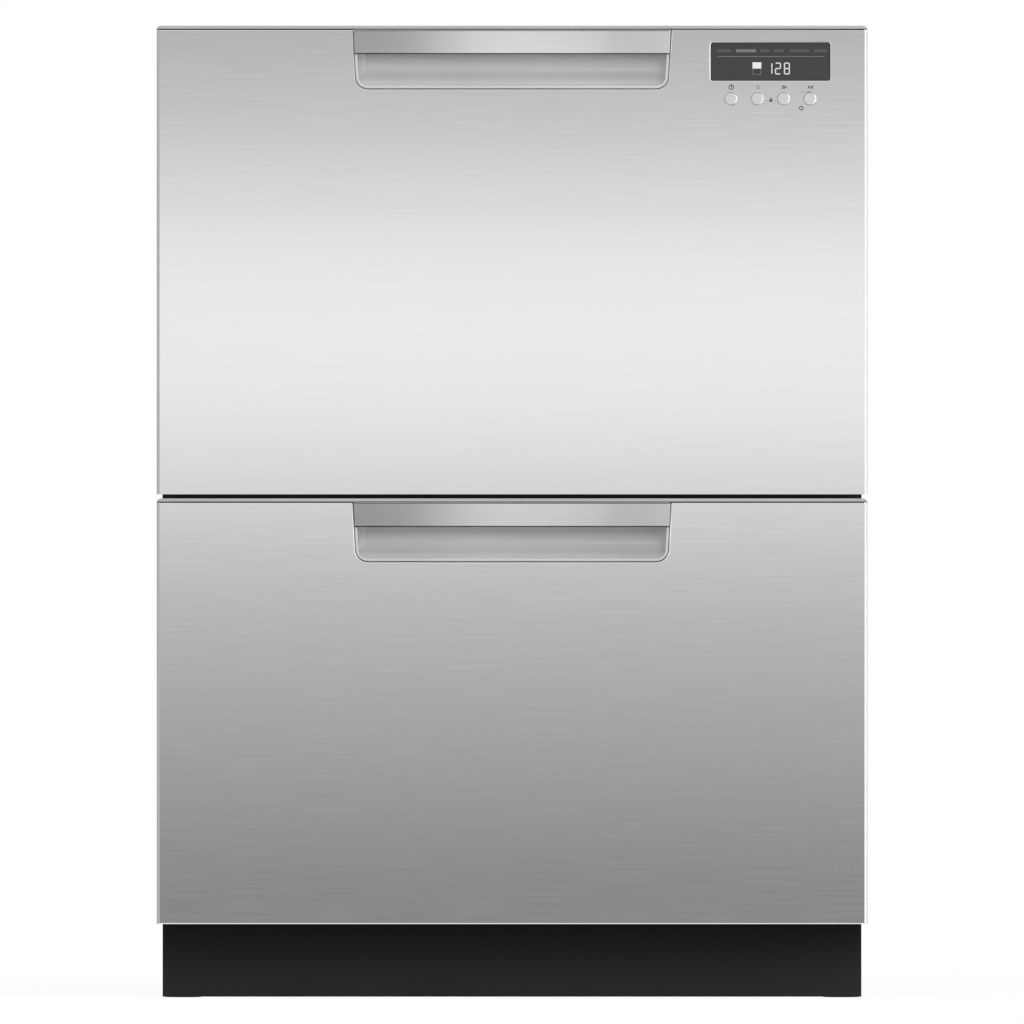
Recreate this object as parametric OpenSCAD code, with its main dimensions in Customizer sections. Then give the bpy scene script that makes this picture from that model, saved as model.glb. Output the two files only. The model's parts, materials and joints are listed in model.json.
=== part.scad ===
/* [Cabinet] */
// Width across the drawer fronts
unit_w = 599; // [580:1:640]
// Depth from the handle face to the back panel
unit_d = 573; // [560:1:620]
// Height with the levelling feet screwed in
unit_h = 820; // [812:1:850]
// How far a drawer front stands past the chassis on each side
front_overhang = 4.5; // [3:0.5:6]
// Thickness of the chassis sheet
sheet = 1.2; // [0.8:0.1:2]
// Height of the underside of the base pan above the floor
pan_z = 38; // [34:1:44]
// Height of the bare strip below the lower drawer front
toe_h = 62.6; // [58:0.2:70]
// How far the toe kick is set back from the chassis front
kick_setback = 18; // [12:1:40]

/* [Drawer fronts] */
// How much taller the upper drawer front is than the lower one
front_step = 36.4; // [0:0.2:50]
// Thickness of a drawer front, handle face to back plate
door_t = 36; // [32:1:44]
// Running gap between a drawer front and the chassis
door_gap = 2; // [1:0.5:4]
// Gap between the two drawer fronts
front_gap = 3.4; // [2:0.2:6]
// Thickness of the steel skin
skin = 1; // [0.8:0.1:1.5]
// Depth of the folded edges of the steel skin
fold_d = 19; // [12:1:22]
// Radius of the folded corners of the steel skin
fold_r = 3; // [1:0.5:4]
// Height of the moulded cap along the top of a front
cap_h = 3.4; // [2.4:0.2:6]
// Height of the shadow groove under the front edge of the cap
groove_h = 0.8; // [0.4:0.1:1.2]
// Depth of the shadow groove
groove_d = 2.4; // [1:0.2:4]
// How far the handle strip and the buttons stand proud
proud = 1; // [0.4:0.2:2]

/* [Handle] */
// Width of the handle at its top
handle_w = 267; // [200:1:300]
// How much narrower the handle is at its lower edge, per side
handle_taper = 2; // [0:0.5:6]
// Height of the handle below the cap
handle_h = 49.4; // [44:0.2:60]
// Height of the steel strip in front of the fingers
strip_h = 18.1; // [14:0.1:24]
// Thickness of the steel strip
strip_t = 1.2; // [0.8:0.1:2]
// Thickness of the moulded wall behind the strip
strip_back = 3; // [2:0.5:5]
// Depth of the finger pocket
pocket_d = 25; // [20:1:27]
// Wall of the handle moulding
pocket_wall = 2; // [1.5:0.5:3]
// Radius of the lower corners of the pocket
pocket_r = 10; // [6:1:16]
// Radius of the scoop between the floor and the back of the pocket
scoop_r = 22; // [8:1:22]
// Radius between the ends and the back of the pocket
pocket_end_r = 14; // [6:1:20]
// Shadow gap between the steel and the handle moulding
handle_gap = 0.8; // [0.3:0.1:1.2]
// Width of the flange of the handle moulding behind the steel
handle_flange = 6; // [4:0.5:10]

/* [Controls] */
// Width of the display window
display_w = 100.2; // [80:0.2:120]
// Height of the display window
display_h = 31.4; // [24:0.2:36]
// Distance from the middle of the front to the middle of the display
display_x = 217.8; // [200:0.2:225]
// Distance from the cap top down to the middle of the display
display_drop = 30.3; // [26:0.1:40]
// Corner radius of the display window
display_r = 2; // [1:0.5:4]
// How far the display window is set back behind the steel
display_inset = 0.3; // [0:0.1:0.6]
// Diameter of a button
button_d = 10.3; // [8:0.1:12]
// Distance between neighbouring buttons
button_pitch = 22.2; // [18:0.2:26]
// Distance from the cap top down to the buttons
button_drop = 61.5; // [58:0.5:70]
// Travel of a button
button_travel = 1.2; // [0.6:0.1:1.6]

/* [Tub] */
// Distance from the cap top down to the rim of the tub
rim_drop = 46; // [44:1:60]
// Wall thickness of the tub
tub_wall = 3; // [2:0.5:4]
// Width of the flange round the rim
rim_w = 9; // [6:1:12]
// Corner radius of the tub in plan
tub_r = 40; // [24:1:60]
// Radius between the walls and the floor of the tub
floor_r = 24; // [12:1:30]
// Space behind the tub for hoses and valves
service_d = 78.5; // [70:0.5:100]
// Height of the sump and motor below the tub floor
pod_h = 46; // [42:1:56]
// Gap between the motor and the top of the toe kick
pod_gap = 1.6; // [1:0.2:6]
// Radius of the round well in the tub floor
well_r = 95; // [80:1:110]
// Depth of the round well
well_d = 14; // [10:1:18]

/* [Runners] */
// Length of a closed telescopic runner
runner_l = 480; // [420:1:485]
// Height of a runner
runner_h = 45; // [40:1:50]
// Thickness of a runner
runner_t = 12.7; // [11:0.1:14]
// Sheet thickness of a runner
runner_sheet = 1.5; // [1:0.1:2]
// Gap between the nested rails of a runner
runner_gap = 0.5; // [0.3:0.1:0.8]
// Height of the runner axis above the tub floor
runner_rise = 60; // [50:1:120]

/* [Lid] */
// Height of the seal above the rim when the lid is raised
lid_lift = 10; // [8:0.5:14]
// Thickness of the lid plate
lid_t = 3; // [2:0.5:4]
// Height of the ribs on the lid
lid_rib = 7; // [4:1:10]
// Height of the rubber seal under the lid
seal_h = 5; // [3:0.5:7]
// Width of the rubber seal
seal_w = 8; // [5:0.5:8]
// Radius of the posts that guide the lid
post_r = 3; // [2.5:0.5:4]

/* [Basket] */
// Radius of the basket wires
wire_r = 1.6; // [1.2:0.1:2.2]
// Gap between the basket and the tub wall
basket_gap = 9; // [6:1:14]
// Height of the basket floor above the tub floor
basket_rise = 30; // [28:1:36]
// Gap between the basket rim and the tub rim
basket_drop = 30; // [20:1:50]
// Spacing of the basket wires
wire_pitch = 38; // [30:1:60]
// Height of the plate tines
tine_h = 66; // [50:1:80]
// Spacing of the plate tines
tine_pitch = 30; // [24:1:40]
// Distance between the fixed and the folding row of tines
row_gap = 100; // [90:1:120]
// Depth of the folding cup rack
rack_d = 92; // [70:1:100]
// Length of the folding cup rack
rack_l = 260; // [200:1:300]

/* [Spray arm] */
// Radius swept by the spray arm
arm_r = 212; // [180:1:214]
// Width of the spray arm at its hub
arm_root_w = 58; // [44:1:70]
// Width of the spray arm at its tip
arm_tip_w = 30; // [20:1:40]
// Thickness of the spray arm
arm_t = 11; // [8:1:12]
// Radius of the shaft that carries the spray arm
shaft_r = 5; // [4:0.5:7]

/* [Fits] */
// Clearance between parts that sit in one another
fit = 0.3; // [0.2:0.05:0.4]
// Radial clearance of a pin in its bore
running = 0.08; // [0.03:0.01:0.1]

/* [Hidden] */
DRAWER_PARTS = ["front_panel", "handle_moulding", "handle_strip", "inner_door", "tub", "runner_inner",
    "runner_middle", "wash_motor", "filter_plate", "drain_filter", "dispenser", "dispenser_door",
    "basket", "folding_tines", "cup_rack", "cutlery_basket", "spray_arm", "lid", "lid_seal"];
CHASSIS_PARTS = ["base_pan", "left_side_panel", "right_side_panel", "rear_panel", "top_panel",
    "middle_rail", "toe_kick", "runner_outers", "lid_actuators", "mounting_brackets", "hose_fittings",
    "front_left_foot", "front_right_foot", "rear_left_foot", "rear_right_foot"];
CONTROL_PARTS = ["display_window", "control_module", "power_button", "program_button", "option_button",
    "start_button"];
$fn = 48;
cut = 1;

// Depths, measured from the middle of the unit; the fronts face -Y
front_y = -unit_d / 2;
back_y = unit_d / 2;
panel_y = front_y + proud;
fold_back_y = panel_y + fold_d;
door_back_y = front_y + door_t;
chassis_y = door_back_y + door_gap;
tub_front = door_back_y;
tub_back = back_y - service_d;
tub_mid_y = (tub_front + tub_back) / 2;

// Widths, measured from the middle of the unit
side_out = unit_w / 2 - front_overhang;
side_in = side_out - sheet;
runner_in = side_in - runner_t;
rim_play = 4;
rim_x = runner_in - rim_play;
tub_x = rim_x - rim_w;
tub_in_x = tub_x - tub_wall;

// Heights of the lower drawer; the upper one is a drawer pitch higher
lower_front_h = (unit_h - toe_h - front_gap - front_step) / 2;
drawer_pitch = lower_front_h + front_step + front_gap;
cap_z = unit_h - drawer_pitch;
panel_top = cap_z - cap_h;
rim_z = cap_z - rim_drop;
pan_top = pan_z + sheet;
floor_z = toe_h + pod_gap + pod_h;
lower_front_z = toe_h;
upper_front_z = cap_z + front_gap - drawer_pitch;
chassis_play = 0.6;
chassis_top = panel_top + drawer_pitch - chassis_play;
side_overlap = 2;
side_z = pan_z - side_overlap;
runner_z = floor_z + runner_rise;
seal_z = rim_z + lid_lift;
lid_z = seal_z + seal_h;
act_t = 2;
act_low = lid_z - lid_lift - act_t;
runner_set = 6;
runner_y = chassis_y + runner_set;

steel = "#c9cacb";
silver = "#b4b6b8";
zinc = "#a8adb0";
black = "#1c1d1f";
plastic = "#c4c8cc";
wire_blue = "#8f979e";

// ---- outlines ----

function arc(cx, cy, r, a0, a1, n = 6) =
    [for (i = [0:n]) let (a = a0 + (a1 - a0) * i / n) [cx + r * cos(a), cy + r * sin(a)]];

// Rectangle with four round corners
function round_rect(x0, y0, x1, y1, r) = concat(
    arc(x1 - r, y1 - r, r, 0, 90), arc(x0 + r, y1 - r, r, 90, 180),
    arc(x0 + r, y0 + r, r, 180, 270), arc(x1 - r, y0 + r, r, 270, 360));

// Rectangle whose two corners at low y are round
function front_rounded(x0, y0, x1, y1, r) = concat(
    [[x1, y1], [x0, y1]], arc(x0 + r, y0 + r, r, 180, 270, 4), arc(x1 - r, y0 + r, r, 270, 360, 4));

// Handle as seen from the front: open to the cap, narrower and round at its lower edge
function handle_outline(inset, top) =
    let (w = handle_w / 2 - inset, b = w - handle_taper, z = panel_top - handle_h + inset,
        r = max(pocket_r - inset, 1))
    concat([[w, top], [-w, top]], arc(-b + r, z + r, r, 180, 270), arc(b - r, z + r, r, 270, 360));

// A flat outline drawn in X and Z, given a depth from y0 towards the back
module front_prism(y0, depth)
    translate([0, y0 + depth, 0]) rotate([90, 0, 0]) linear_extrude(depth) children();
// A flat outline drawn in Y and Z, given a length from x0 towards +X
module side_prism(x0, len) translate([x0, 0, 0]) rotate([90, 0, 90]) linear_extrude(len) children();
module box(x0, y0, z0, x1, y1, z1) translate([x0, y0, z0]) cube([x1 - x0, y1 - y0, z1 - z0]);
module both_sides() for (s = [0, 1]) mirror([s, 0, 0]) children();
module raised() translate([0, 0, drawer_pitch]) children();
module hole_x(x0, x1, y, z, r) translate([x0, y, z]) rotate([0, 90, 0]) cylinder(r = r, h = x1 - x0);
module hole_y(x, y0, y1, z, r) translate([x, y1, z]) rotate([90, 0, 0]) cylinder(r = r, h = y1 - y0);
module hole_z(x, y, z0, z1, r) translate([x, y, z0]) cylinder(r = r, h = z1 - z0);

// ---- chassis ----

foot_inset = 17;
foot_back = 40;
foot_x = side_out - foot_inset;
foot_front_y = chassis_y + kick_setback + foot_back;
foot_rear_y = back_y - foot_back + 4;
foot_screw_r = 5;
boss_r = 8;
boss_low = 16;
boss_high = 12;
foot_pad_r = 16;
foot_nut_r = 10;
foot_pad_h = 9;
foot_travel = 60;
foot_engaged = 20;
foot_screw_top = pan_z - boss_low + foot_travel + foot_engaged;
kick_y = chassis_y + kick_setback;
kick_wing = 24;
kick_play = 0.8;
kick_top = toe_h - kick_play;
kick_low = 1;
kick_tab_x = 160;
kick_tab_w = 40;
kick_tab_rise = 6;
kick_tab_h = 12;
notch_z = toe_h + 2;
kick_space = 3.3;
pan_front = kick_y + sheet + kick_space;
pan_rim = 20;
pan_rib_w = 6;
pan_rib_h = 2;
pan_rib_pitch = 80;
pan_rib_margin = 60;
flange = 12;

module each_foot() for (y = [foot_front_y, foot_rear_y]) translate([foot_x, y, 0]) children();

module base_pan() color(zinc) {
    difference() {
        union() {
            difference() {
                box(-side_in, pan_front, pan_z, side_in, back_y - sheet, pan_top + pan_rim);
                box(-side_in + sheet, pan_front + sheet, pan_top, side_in - sheet,
                    back_y - 2 * sheet, pan_top + pan_rim + cut);
            }
            both_sides() each_foot() translate([0, 0, pan_z - boss_low])
                cylinder(r = boss_r, h = boss_low + boss_high);
            // pressed ribs that stiffen the tray
            for (i = [-2, -1, 1, 2])
                box(i * pan_rib_pitch - pan_rib_w / 2, pan_front + pan_rib_margin, pan_top,
                    i * pan_rib_pitch + pan_rib_w / 2, fitting_y - pan_rib_margin, pan_top + pan_rib_h);
        }
        both_sides() each_foot() translate([0, 0, pan_z - boss_low - cut])
            cylinder(r = foot_screw_r + running, h = boss_low + boss_high + 2 * cut);
        box(-fitting_w / 2 - fit, back_y - 3 * sheet, pan_top + fit, fitting_w / 2 + fit, back_y,
            pan_top + pan_rim + cut);
    }
}

side_hole_r = 2.5;
side_hole_back = 30;
side_hole_rise = 72;
side_hole_drop = 46;
side_hole_y = chassis_y + side_hole_back;
side_hole_z = [pan_z + side_hole_rise, chassis_top - side_hole_drop];
bead_w = 12;
bead_h = 1.6;
bead_r = bead_w / 2 - 0.1;
bead_margin = 60;
bead_space = 15;
bead_low = runner_z + runner_h / 2 + bead_space;
bead_high = act_low - bead_space - bead_w;
bead_z = [for (i = [0:2]) bead_low + (bead_high - bead_low) * i / 2];
runner_mouth = 3;

// A pressed bead standing in from a side panel
module bead_x(z) side_prism(side_in - bead_h, bead_h + 0.1)
    polygon(round_rect(chassis_y + bead_margin, z, back_y - bead_margin, z + bead_w, bead_r));

module side_panel() color(black) difference() {
    union() {
        box(side_in, chassis_y, side_z, side_out, back_y, chassis_top - sheet);
        // returns folded inwards along the front, top and back edges
        box(side_in - flange, chassis_y, notch_z, side_in + 0.1, chassis_y + sheet, chassis_top - sheet);
        box(side_in - flange, chassis_y, chassis_top - 2 * sheet, side_in + 0.1, back_y - sheet,
            chassis_top - sheet);
        // pressed beads that stiffen the sheet above each runner
        for (z = [0, drawer_pitch], h = bead_z)
            bead_x(z + h);
    }
    // toe notch, filled by the wings of the toe kick
    box(side_in - flange - cut, chassis_y - cut, side_z - cut, side_out + cut,
        kick_y + kick_wing + fit, notch_z);
    // gaps in the front return, where the runners come out
    for (z = [0, drawer_pitch])
        box(side_in - flange - cut, chassis_y - cut, runner_z + z - runner_h / 2 - runner_mouth,
            side_in - 0.2, chassis_y + sheet + cut, runner_z + z + runner_h / 2 + runner_mouth);
    for (z = side_hole_z)
        hole_x(side_in - cut, side_out + cut, side_hole_y, z, side_hole_r);
}

module rear_panel() color(zinc) difference() {
    union() {
        front_prism(back_y - sheet, sheet)
            polygon(round_rect(-side_in, pan_top + pan_rim + fit, side_in, chassis_top - sheet, 1));
        for (z = [0, drawer_pitch], h = bead_z)
            front_prism(back_y - sheet - bead_h, bead_h + 0.1) polygon(
                round_rect(-side_in + bead_margin, z + h, side_in - bead_margin, z + h + bead_w, bead_r));
    }
    // window for the hose fittings
    front_prism(back_y - 2 * sheet, 3 * sheet) polygon(round_rect(-fitting_w / 2 - fitting_play, 0,
        fitting_w / 2 + fitting_play, pan_top + fitting_h + fitting_play, 2));
}

bracket_x = 240;
bracket_w = 40;
bracket_back = 17;
bracket_y = chassis_y + bracket_back;
bracket_hole_r = 2.5;
bracket_t = 2;
bracket_lip = 1.4;
top_bead_pitch = 120;

module top_panel() color(zinc) difference() {
    union() {
        box(-side_out, chassis_y, chassis_top - sheet, side_out, back_y, chassis_top);
        box(-side_in + flange + fit, chassis_y, chassis_top - flange, side_in - flange - fit,
            chassis_y + sheet, chassis_top);
        for (y = [-1:1])
            translate([0, y * top_bead_pitch, chassis_top - sheet - bead_h]) linear_extrude(bead_h + 0.1)
                polygon(round_rect(-side_in + bead_margin, 0, side_in - bead_margin, bead_w, bead_r));
    }
    for (x = [-1, 1])
        hole_z(x * bracket_x, bracket_y, chassis_top - 2 * sheet, chassis_top + cut, bracket_hole_r + 2);
}

module mounting_brackets() color(zinc) both_sides() difference() {
    translate([bracket_x - bracket_w / 2, 0, 0]) {
        box(0, chassis_y, chassis_top, bracket_w, bracket_y + bracket_w / 2, chassis_top + bracket_t);
        box(0, bracket_y + bracket_w / 2 - bracket_t, chassis_top, bracket_w, bracket_y + bracket_w / 2,
            chassis_top + bracket_t + bracket_lip);
    }
    hole_z(bracket_x, bracket_y, chassis_top - cut, chassis_top + bracket_t + cut, bracket_hole_r);
}

rail_below = 13;
rail_above = 15;
rail_low = cap_z - rail_below;
rail_high = cap_z + rail_above;
rail_d = 22;

// Channel across the front between the two drawers, with a tab at each end
module middle_rail() color(black) {
    difference() {
        box(-side_in + flange + fit, chassis_y, rail_low, side_in - flange - fit, chassis_y + rail_d,
            rail_high);
        box(-side_in, chassis_y + sheet, rail_low + sheet, side_in, chassis_y + rail_d + cut,
            rail_high - sheet);
    }
    both_sides()
        box(side_in - 2 * flange, chassis_y + sheet + fit, rail_low + sheet - 0.1, side_in,
            chassis_y + rail_d, rail_low + 2 * sheet);
}

module toe_kick() color(black) {
    box(-side_out, kick_y, kick_low, side_out, kick_y + sheet, kick_top);
    both_sides() {
        box(side_in, kick_y, kick_low, side_out, kick_y + kick_wing, kick_top);
        // tab that is screwed to the base pan
        box(kick_tab_x, kick_y, pan_z + kick_tab_rise, kick_tab_x + kick_tab_w, pan_front,
            pan_z + kick_tab_rise + kick_tab_h);
    }
    box(-side_in, kick_y, kick_top - sheet, side_in, pan_front - fit, kick_top);
}

module foot() color(black) {
    translate([0, 0, foot_pad_h - 0.1]) cylinder(r = foot_screw_r, h = foot_screw_top - foot_pad_h + 0.1);
    rotate_extrude() polygon([[0, 0], [foot_pad_r - 1, 0], [foot_pad_r, 1], [foot_pad_r, foot_pad_h / 3],
        [foot_nut_r + 1, 2 * foot_pad_h / 3], [foot_nut_r, foot_pad_h], [0, foot_pad_h]]);
}

// Water inlet, drain spigot and cable entry on one moulded plate at the back
fitting_w = 200;
fitting_h = 62;
fitting_d = 26;
fitting_rise = 32;
fitting_play = 4;
fitting_y = back_y - fitting_d;
fitting_t = 3;
fitting_z = pan_top + fitting_rise;
inlet_x = 60;
inlet_r = 13.2;
inlet_wall = 3.4;
drain_x = -60;
drain_r = 9.5;
drain_wall = 2;
cable_r = 4.5;
cable_wall = 4;
cable_l = 6;
stub_l = 20;

module hose_fittings() color(black) difference() {
    union() {
        box(-fitting_w / 2, fitting_y, pan_top, fitting_w / 2, fitting_y + fitting_t, pan_top + fitting_h);
        both_sides()
            box(fitting_w / 2 - fitting_t, fitting_y, pan_top, fitting_w / 2, back_y - 2 * sheet - fit,
                pan_top + fitting_h);
        hole_y(inlet_x, fitting_y, fitting_y + fitting_t + stub_l, fitting_z, inlet_r);
        hole_y(drain_x, fitting_y, fitting_y + fitting_t + stub_l, fitting_z, drain_r);
        hole_y(0, fitting_y - cable_l, fitting_y + fitting_t + cable_l, fitting_z, cable_r + cable_wall);
    }
    hole_y(inlet_x, fitting_y - cut, back_y, fitting_z, inlet_r - inlet_wall);
    hole_y(drain_x, fitting_y - cut, back_y, fitting_z, drain_r - drain_wall);
    hole_y(0, fitting_y - cable_l - cut, back_y, fitting_z, cable_r);
}

// ---- telescopic runners ----

// Cross-section of a rail: a channel with its web outwards and two lips inwards
module channel(x_in, x_out, h, lip) difference() {
    translate([x_in, runner_z - h / 2]) square([x_out - x_in, h]);
    translate([x_in + runner_sheet, runner_z - h / 2 + runner_sheet])
        square([x_out - x_in - 2 * runner_sheet, h - 2 * runner_sheet]);
    translate([x_in - cut, runner_z - h / 2 + lip]) square([runner_sheet + 2 * cut, h - 2 * lip]);
}

step_t = runner_sheet + runner_gap;
middle_h = runner_h - 2 * step_t;
inner_h = middle_h - 2 * step_t;
lip_h = 6;
bracket_h = inner_h - 2 * lip_h;

module runner_outers() color(zinc) both_sides() for (z = [0, drawer_pitch])
    translate([0, 0, z]) difference() {
        front_prism(runner_y, runner_l) channel(runner_in, side_in, runner_h, lip_h);
        for (t = [0.1, 0.9])
            hole_x(side_in - 2 * runner_sheet, side_in + cut, runner_y + t * runner_l, runner_z, 3);
    }

module runner_middle() color(zinc) both_sides()
    front_prism(runner_y, runner_l)
        channel(runner_in + step_t, side_in - step_t, middle_h, lip_h - runner_sheet / 2);

// Inner rail, folded on to the bracket that carries the tub
module runner_inner() color(zinc) both_sides() difference() {
    front_prism(runner_y, runner_l) {
        translate([runner_in + 2 * step_t, runner_z - inner_h / 2]) square([runner_sheet, inner_h]);
        for (z = [runner_z - inner_h / 2, runner_z + inner_h / 2 - runner_sheet])
            translate([runner_in + 2 * step_t, z]) square([runner_t - 4 * step_t, runner_sheet]);
        translate([tub_x, runner_z - runner_sheet / 2])
            square([runner_in + 2 * step_t - tub_x + 0.1, runner_sheet]);
        translate([tub_x, runner_z - bracket_h / 2]) square([runner_sheet, bracket_h]);
    }
    box(0, tub_back + 2, runner_z - runner_h, runner_in, back_y, runner_z + runner_h);
}

// ---- tub ----

// Solid with the tub's plan, rounded between walls and floor
module tub_form(x, y0, y1, z0, z1, r_plan, r_floor) hull() {
    for (i = [0:4]) let (a = 90 * i / 4, d = r_floor * (1 - sin(a)), h = r_floor * (1 - cos(a)))
        translate([0, 0, z0 + h]) linear_extrude(i == 4 ? z1 - z0 - h : 0.01)
            polygon(round_rect(-x + d, y0 + d, x - d, y1 - d, max(r_plan - d, 4)));
}

rim_t = 3;
ledge = 5;
seat_drop = 4;
seat_z = floor_z - seat_drop;
hub_hole_r = 12;
filter_x = 48;
filter_r = 24;
tub_rib_d = 6;
tub_rib_t = 2;
tub_rib_pitch = 60;
well_rib_l = 90;

module tub() color(plastic) difference() {
    union() {
        tub_form(tub_x, tub_front, tub_back, floor_z - tub_wall, rim_z, tub_r, floor_r);
        // flange round the rim, flush with the front wall
        translate([0, 0, rim_z - rim_t]) linear_extrude(rim_t)
            polygon(round_rect(-rim_x, tub_front, rim_x, tub_back + rim_w, tub_r));
        hole_z(0, tub_mid_y, floor_z - well_d - tub_wall, floor_z, well_r + tub_wall);
        // ribs that carry the floor on the round well
        for (a = [30, 150, 210, 330])
            translate([0, tub_mid_y, floor_z - well_d]) rotate([0, 0, a])
                box(well_r, -tub_rib_t / 2, 0, well_r + well_rib_l, tub_rib_t / 2, well_d);
        // ribs that stiffen the side walls above the runners
        both_sides() for (y = steps(tub_front + tub_r, tub_back - tub_r, tub_rib_pitch))
            box(tub_x - 0.1, y - tub_rib_t / 2, runner_z + runner_h / 2 + rim_play, tub_x + tub_rib_d,
                y + tub_rib_t / 2, rim_z - rim_t + 0.1);
    }
    tub_form(tub_in_x, tub_front + tub_wall, tub_back - tub_wall, floor_z, rim_z + cut, tub_r - tub_wall,
        floor_r - tub_wall);
    hole_z(0, tub_mid_y, seat_z, floor_z + cut, well_r);
    hole_z(0, tub_mid_y, floor_z - well_d, floor_z, well_r - ledge);
    hole_z(0, tub_mid_y, motor_top - cut, floor_z, collar_r);
}

motor_r = 66;
motor_bottom = floor_z - pod_h;
motor_top = floor_z - well_d - tub_wall;
collar_r = shaft_r + 4;
collar_h = 3;
collar_z = floor_z + collar_h;
arm_hub_h = 19;
pump_x = -46;
pump_r = 14;
pump_y = tub_mid_y + 30;
pump_l = 66;
outlet_r = 9;
outlet_l = 22;

// Motor and pump under the well, with the shaft that carries the spray arm
module wash_motor() color(silver) {
    translate([0, tub_mid_y, 0]) rotate_extrude() polygon(concat(
        [[0, motor_bottom], [motor_r - 14, motor_bottom], [motor_r - 8, motor_bottom + 6],
            [motor_r - 8, motor_bottom + 18], [motor_r, motor_bottom + 22],
            [motor_r, motor_top], [collar_r, motor_top], [collar_r, collar_z], [shaft_r, collar_z],
            [shaft_r, collar_z + arm_hub_h + 2], [0, collar_z + arm_hub_h + 2]]));
    translate([0, tub_mid_y, 0]) for (a = [15:30:345]) rotate([0, 0, a])
        box(motor_r - 9, -1, motor_bottom + 4, motor_r - 2, 1, motor_bottom + 22);
    // drain pump and the outlet that leads to the hose
    hole_y(pump_x, pump_y, pump_y + pump_l, motor_bottom + pump_r, pump_r);
    hole_y(pump_x, pump_y + pump_l - cut, pump_y + pump_l + outlet_l, motor_bottom + pump_r, outlet_r);
}

plate_t = 3;
straining_r = 2;
plate_edge = 4;
cup_h = 8;
cup_wall = 3;
cup_rim = 1.2;
cup_slot_w = 5;
cup_slot_h = 4;
bar_w = 4;

module filter_plate() color(silver) difference() {
    plate_cylinder(0, 0, well_r - fit);
    plate_cylinder(0, cut, hub_hole_r);
    plate_cylinder(filter_x, cut, filter_r);
    // two rings of straining holes, left out near the filter
    for (ring = [[72, 24], [84, 30]], i = [1:ring[1]])
        let (x = ring[0] * cos(360 * i / ring[1]), y = ring[0] * sin(360 * i / ring[1]))
            if (norm([x - filter_x, y]) > filter_r + plate_edge)
                translate([0, y, 0]) plate_cylinder(x, cut, straining_r);
}

// Cylinder through the plate, longer by grow at both ends
module plate_cylinder(x, grow, r) hole_z(x, tub_mid_y, seat_z - grow, seat_z + plate_t + grow, r);

// Cup-shaped strainer with a finger bar
module drain_filter() color(wire_blue) {
    strainer_cup();
    translate([filter_x, tub_mid_y, 0])
        box(-filter_r + 1, -bar_w / 2, seat_z - cup_h + 1, filter_r - 1, bar_w / 2,
            seat_z + plate_t + cup_rim);
}

module strainer_cup() translate([filter_x, tub_mid_y, seat_z]) difference() {
    union() {
        translate([0, 0, -cup_h]) cylinder(r = filter_r - fit, h = cup_h + plate_t);
        translate([0, 0, plate_t]) cylinder(r = filter_r + cup_wall, h = cup_rim);
    }
    translate([0, 0, 2 - cup_h]) cylinder(r = filter_r - cup_wall, h = cup_h + plate_t + cup_rim);
    for (a = [0:30:330])
        rotate([0, 0, a]) translate([filter_r - 2 * cup_wall, -cup_slot_w / 2, -cup_slot_h - 1])
            cube([2 * cup_wall + cut, cup_slot_w, cup_slot_h]);
}

// ---- spray arm ----

arm_bottom = collar_z + fit;
nozzle_n = 5;

module spray_arm() color(plastic) translate([0, tub_mid_y, arm_bottom]) difference() {
    union() {
        cylinder(r = 17, h = arm_hub_h);
        for (s = [0, 180]) rotate([0, 0, s]) {
            translate([0, 0, 4]) linear_extrude(arm_t) polygon(concat(
                [[0, -arm_root_w / 2]],
                arc(arm_r - arm_tip_w / 2, 0, arm_tip_w / 2, -80, 80, 10),
                [[0, arm_root_w / 2]]));
            // raised water channel with its nozzles
            translate([14, -6, 4 + arm_t - 0.1]) cube([arm_r - 40, 12, 1.6]);
            for (i = [1:nozzle_n])
                translate([24 + i * (arm_r - 60) / nozzle_n, 0, 4 + arm_t]) cylinder(r = 4, h = 3);
        }
    }
    translate([0, 0, -cut]) cylinder(r = shaft_r + running, h = arm_hub_h + 2 * cut);
    for (s = [0, 180], i = [1:nozzle_n]) rotate([0, 0, s])
        translate([24 + i * (arm_r - 60) / nozzle_n, 0, 4 + arm_t / 2]) cylinder(r = 1.4, h = arm_t);
}

// ---- drawer front ----

function front_z(upper) = upper ? upper_front_z : lower_front_z;
button_z = cap_z - button_drop;
button_x = [for (i = [-1.5:1:1.5]) display_x + i * button_pitch];
display_z = cap_z - display_drop;
button_hole_r = button_d / 2 + fit;

module display_outline(grow) let (w = display_w / 2 + grow, h = display_h / 2 + grow)
    polygon(round_rect(display_x - w, display_z - h, display_x + w, display_z + h, display_r));

module front_panel(upper) color(steel) difference() {
    let (z0 = front_z(upper)) difference() {
        translate([0, 0, z0]) linear_extrude(panel_top - z0)
            polygon(front_rounded(-unit_w / 2, panel_y, unit_w / 2, fold_back_y, fold_r));
        translate([0, 0, z0 + skin]) linear_extrude(panel_top - z0 - 2 * skin)
            polygon(front_rounded(-unit_w / 2 + skin, panel_y + skin, unit_w / 2 - skin, fold_back_y + cut,
                fold_r - skin / 2));
    }
    front_prism(panel_y - cut, fold_d + 2 * cut) polygon(handle_outline(-handle_gap, panel_top + cut));
    if (upper) {
        front_prism(panel_y - cut, skin + 2 * cut) display_outline(fit);
        for (x = button_x)
            hole_y(x, panel_y - cut, panel_y + skin + cut, button_z, button_hole_r);
    }
}

strip_space = 1.3;
strip_low = panel_top - strip_h - strip_space;
strip_edge = 0.5;
bridge_y = front_y + strip_t;
curl_x = handle_w / 2 - handle_taper - pocket_wall - fit;
flange_y = panel_y + 4;
flange_t = 2;

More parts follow.
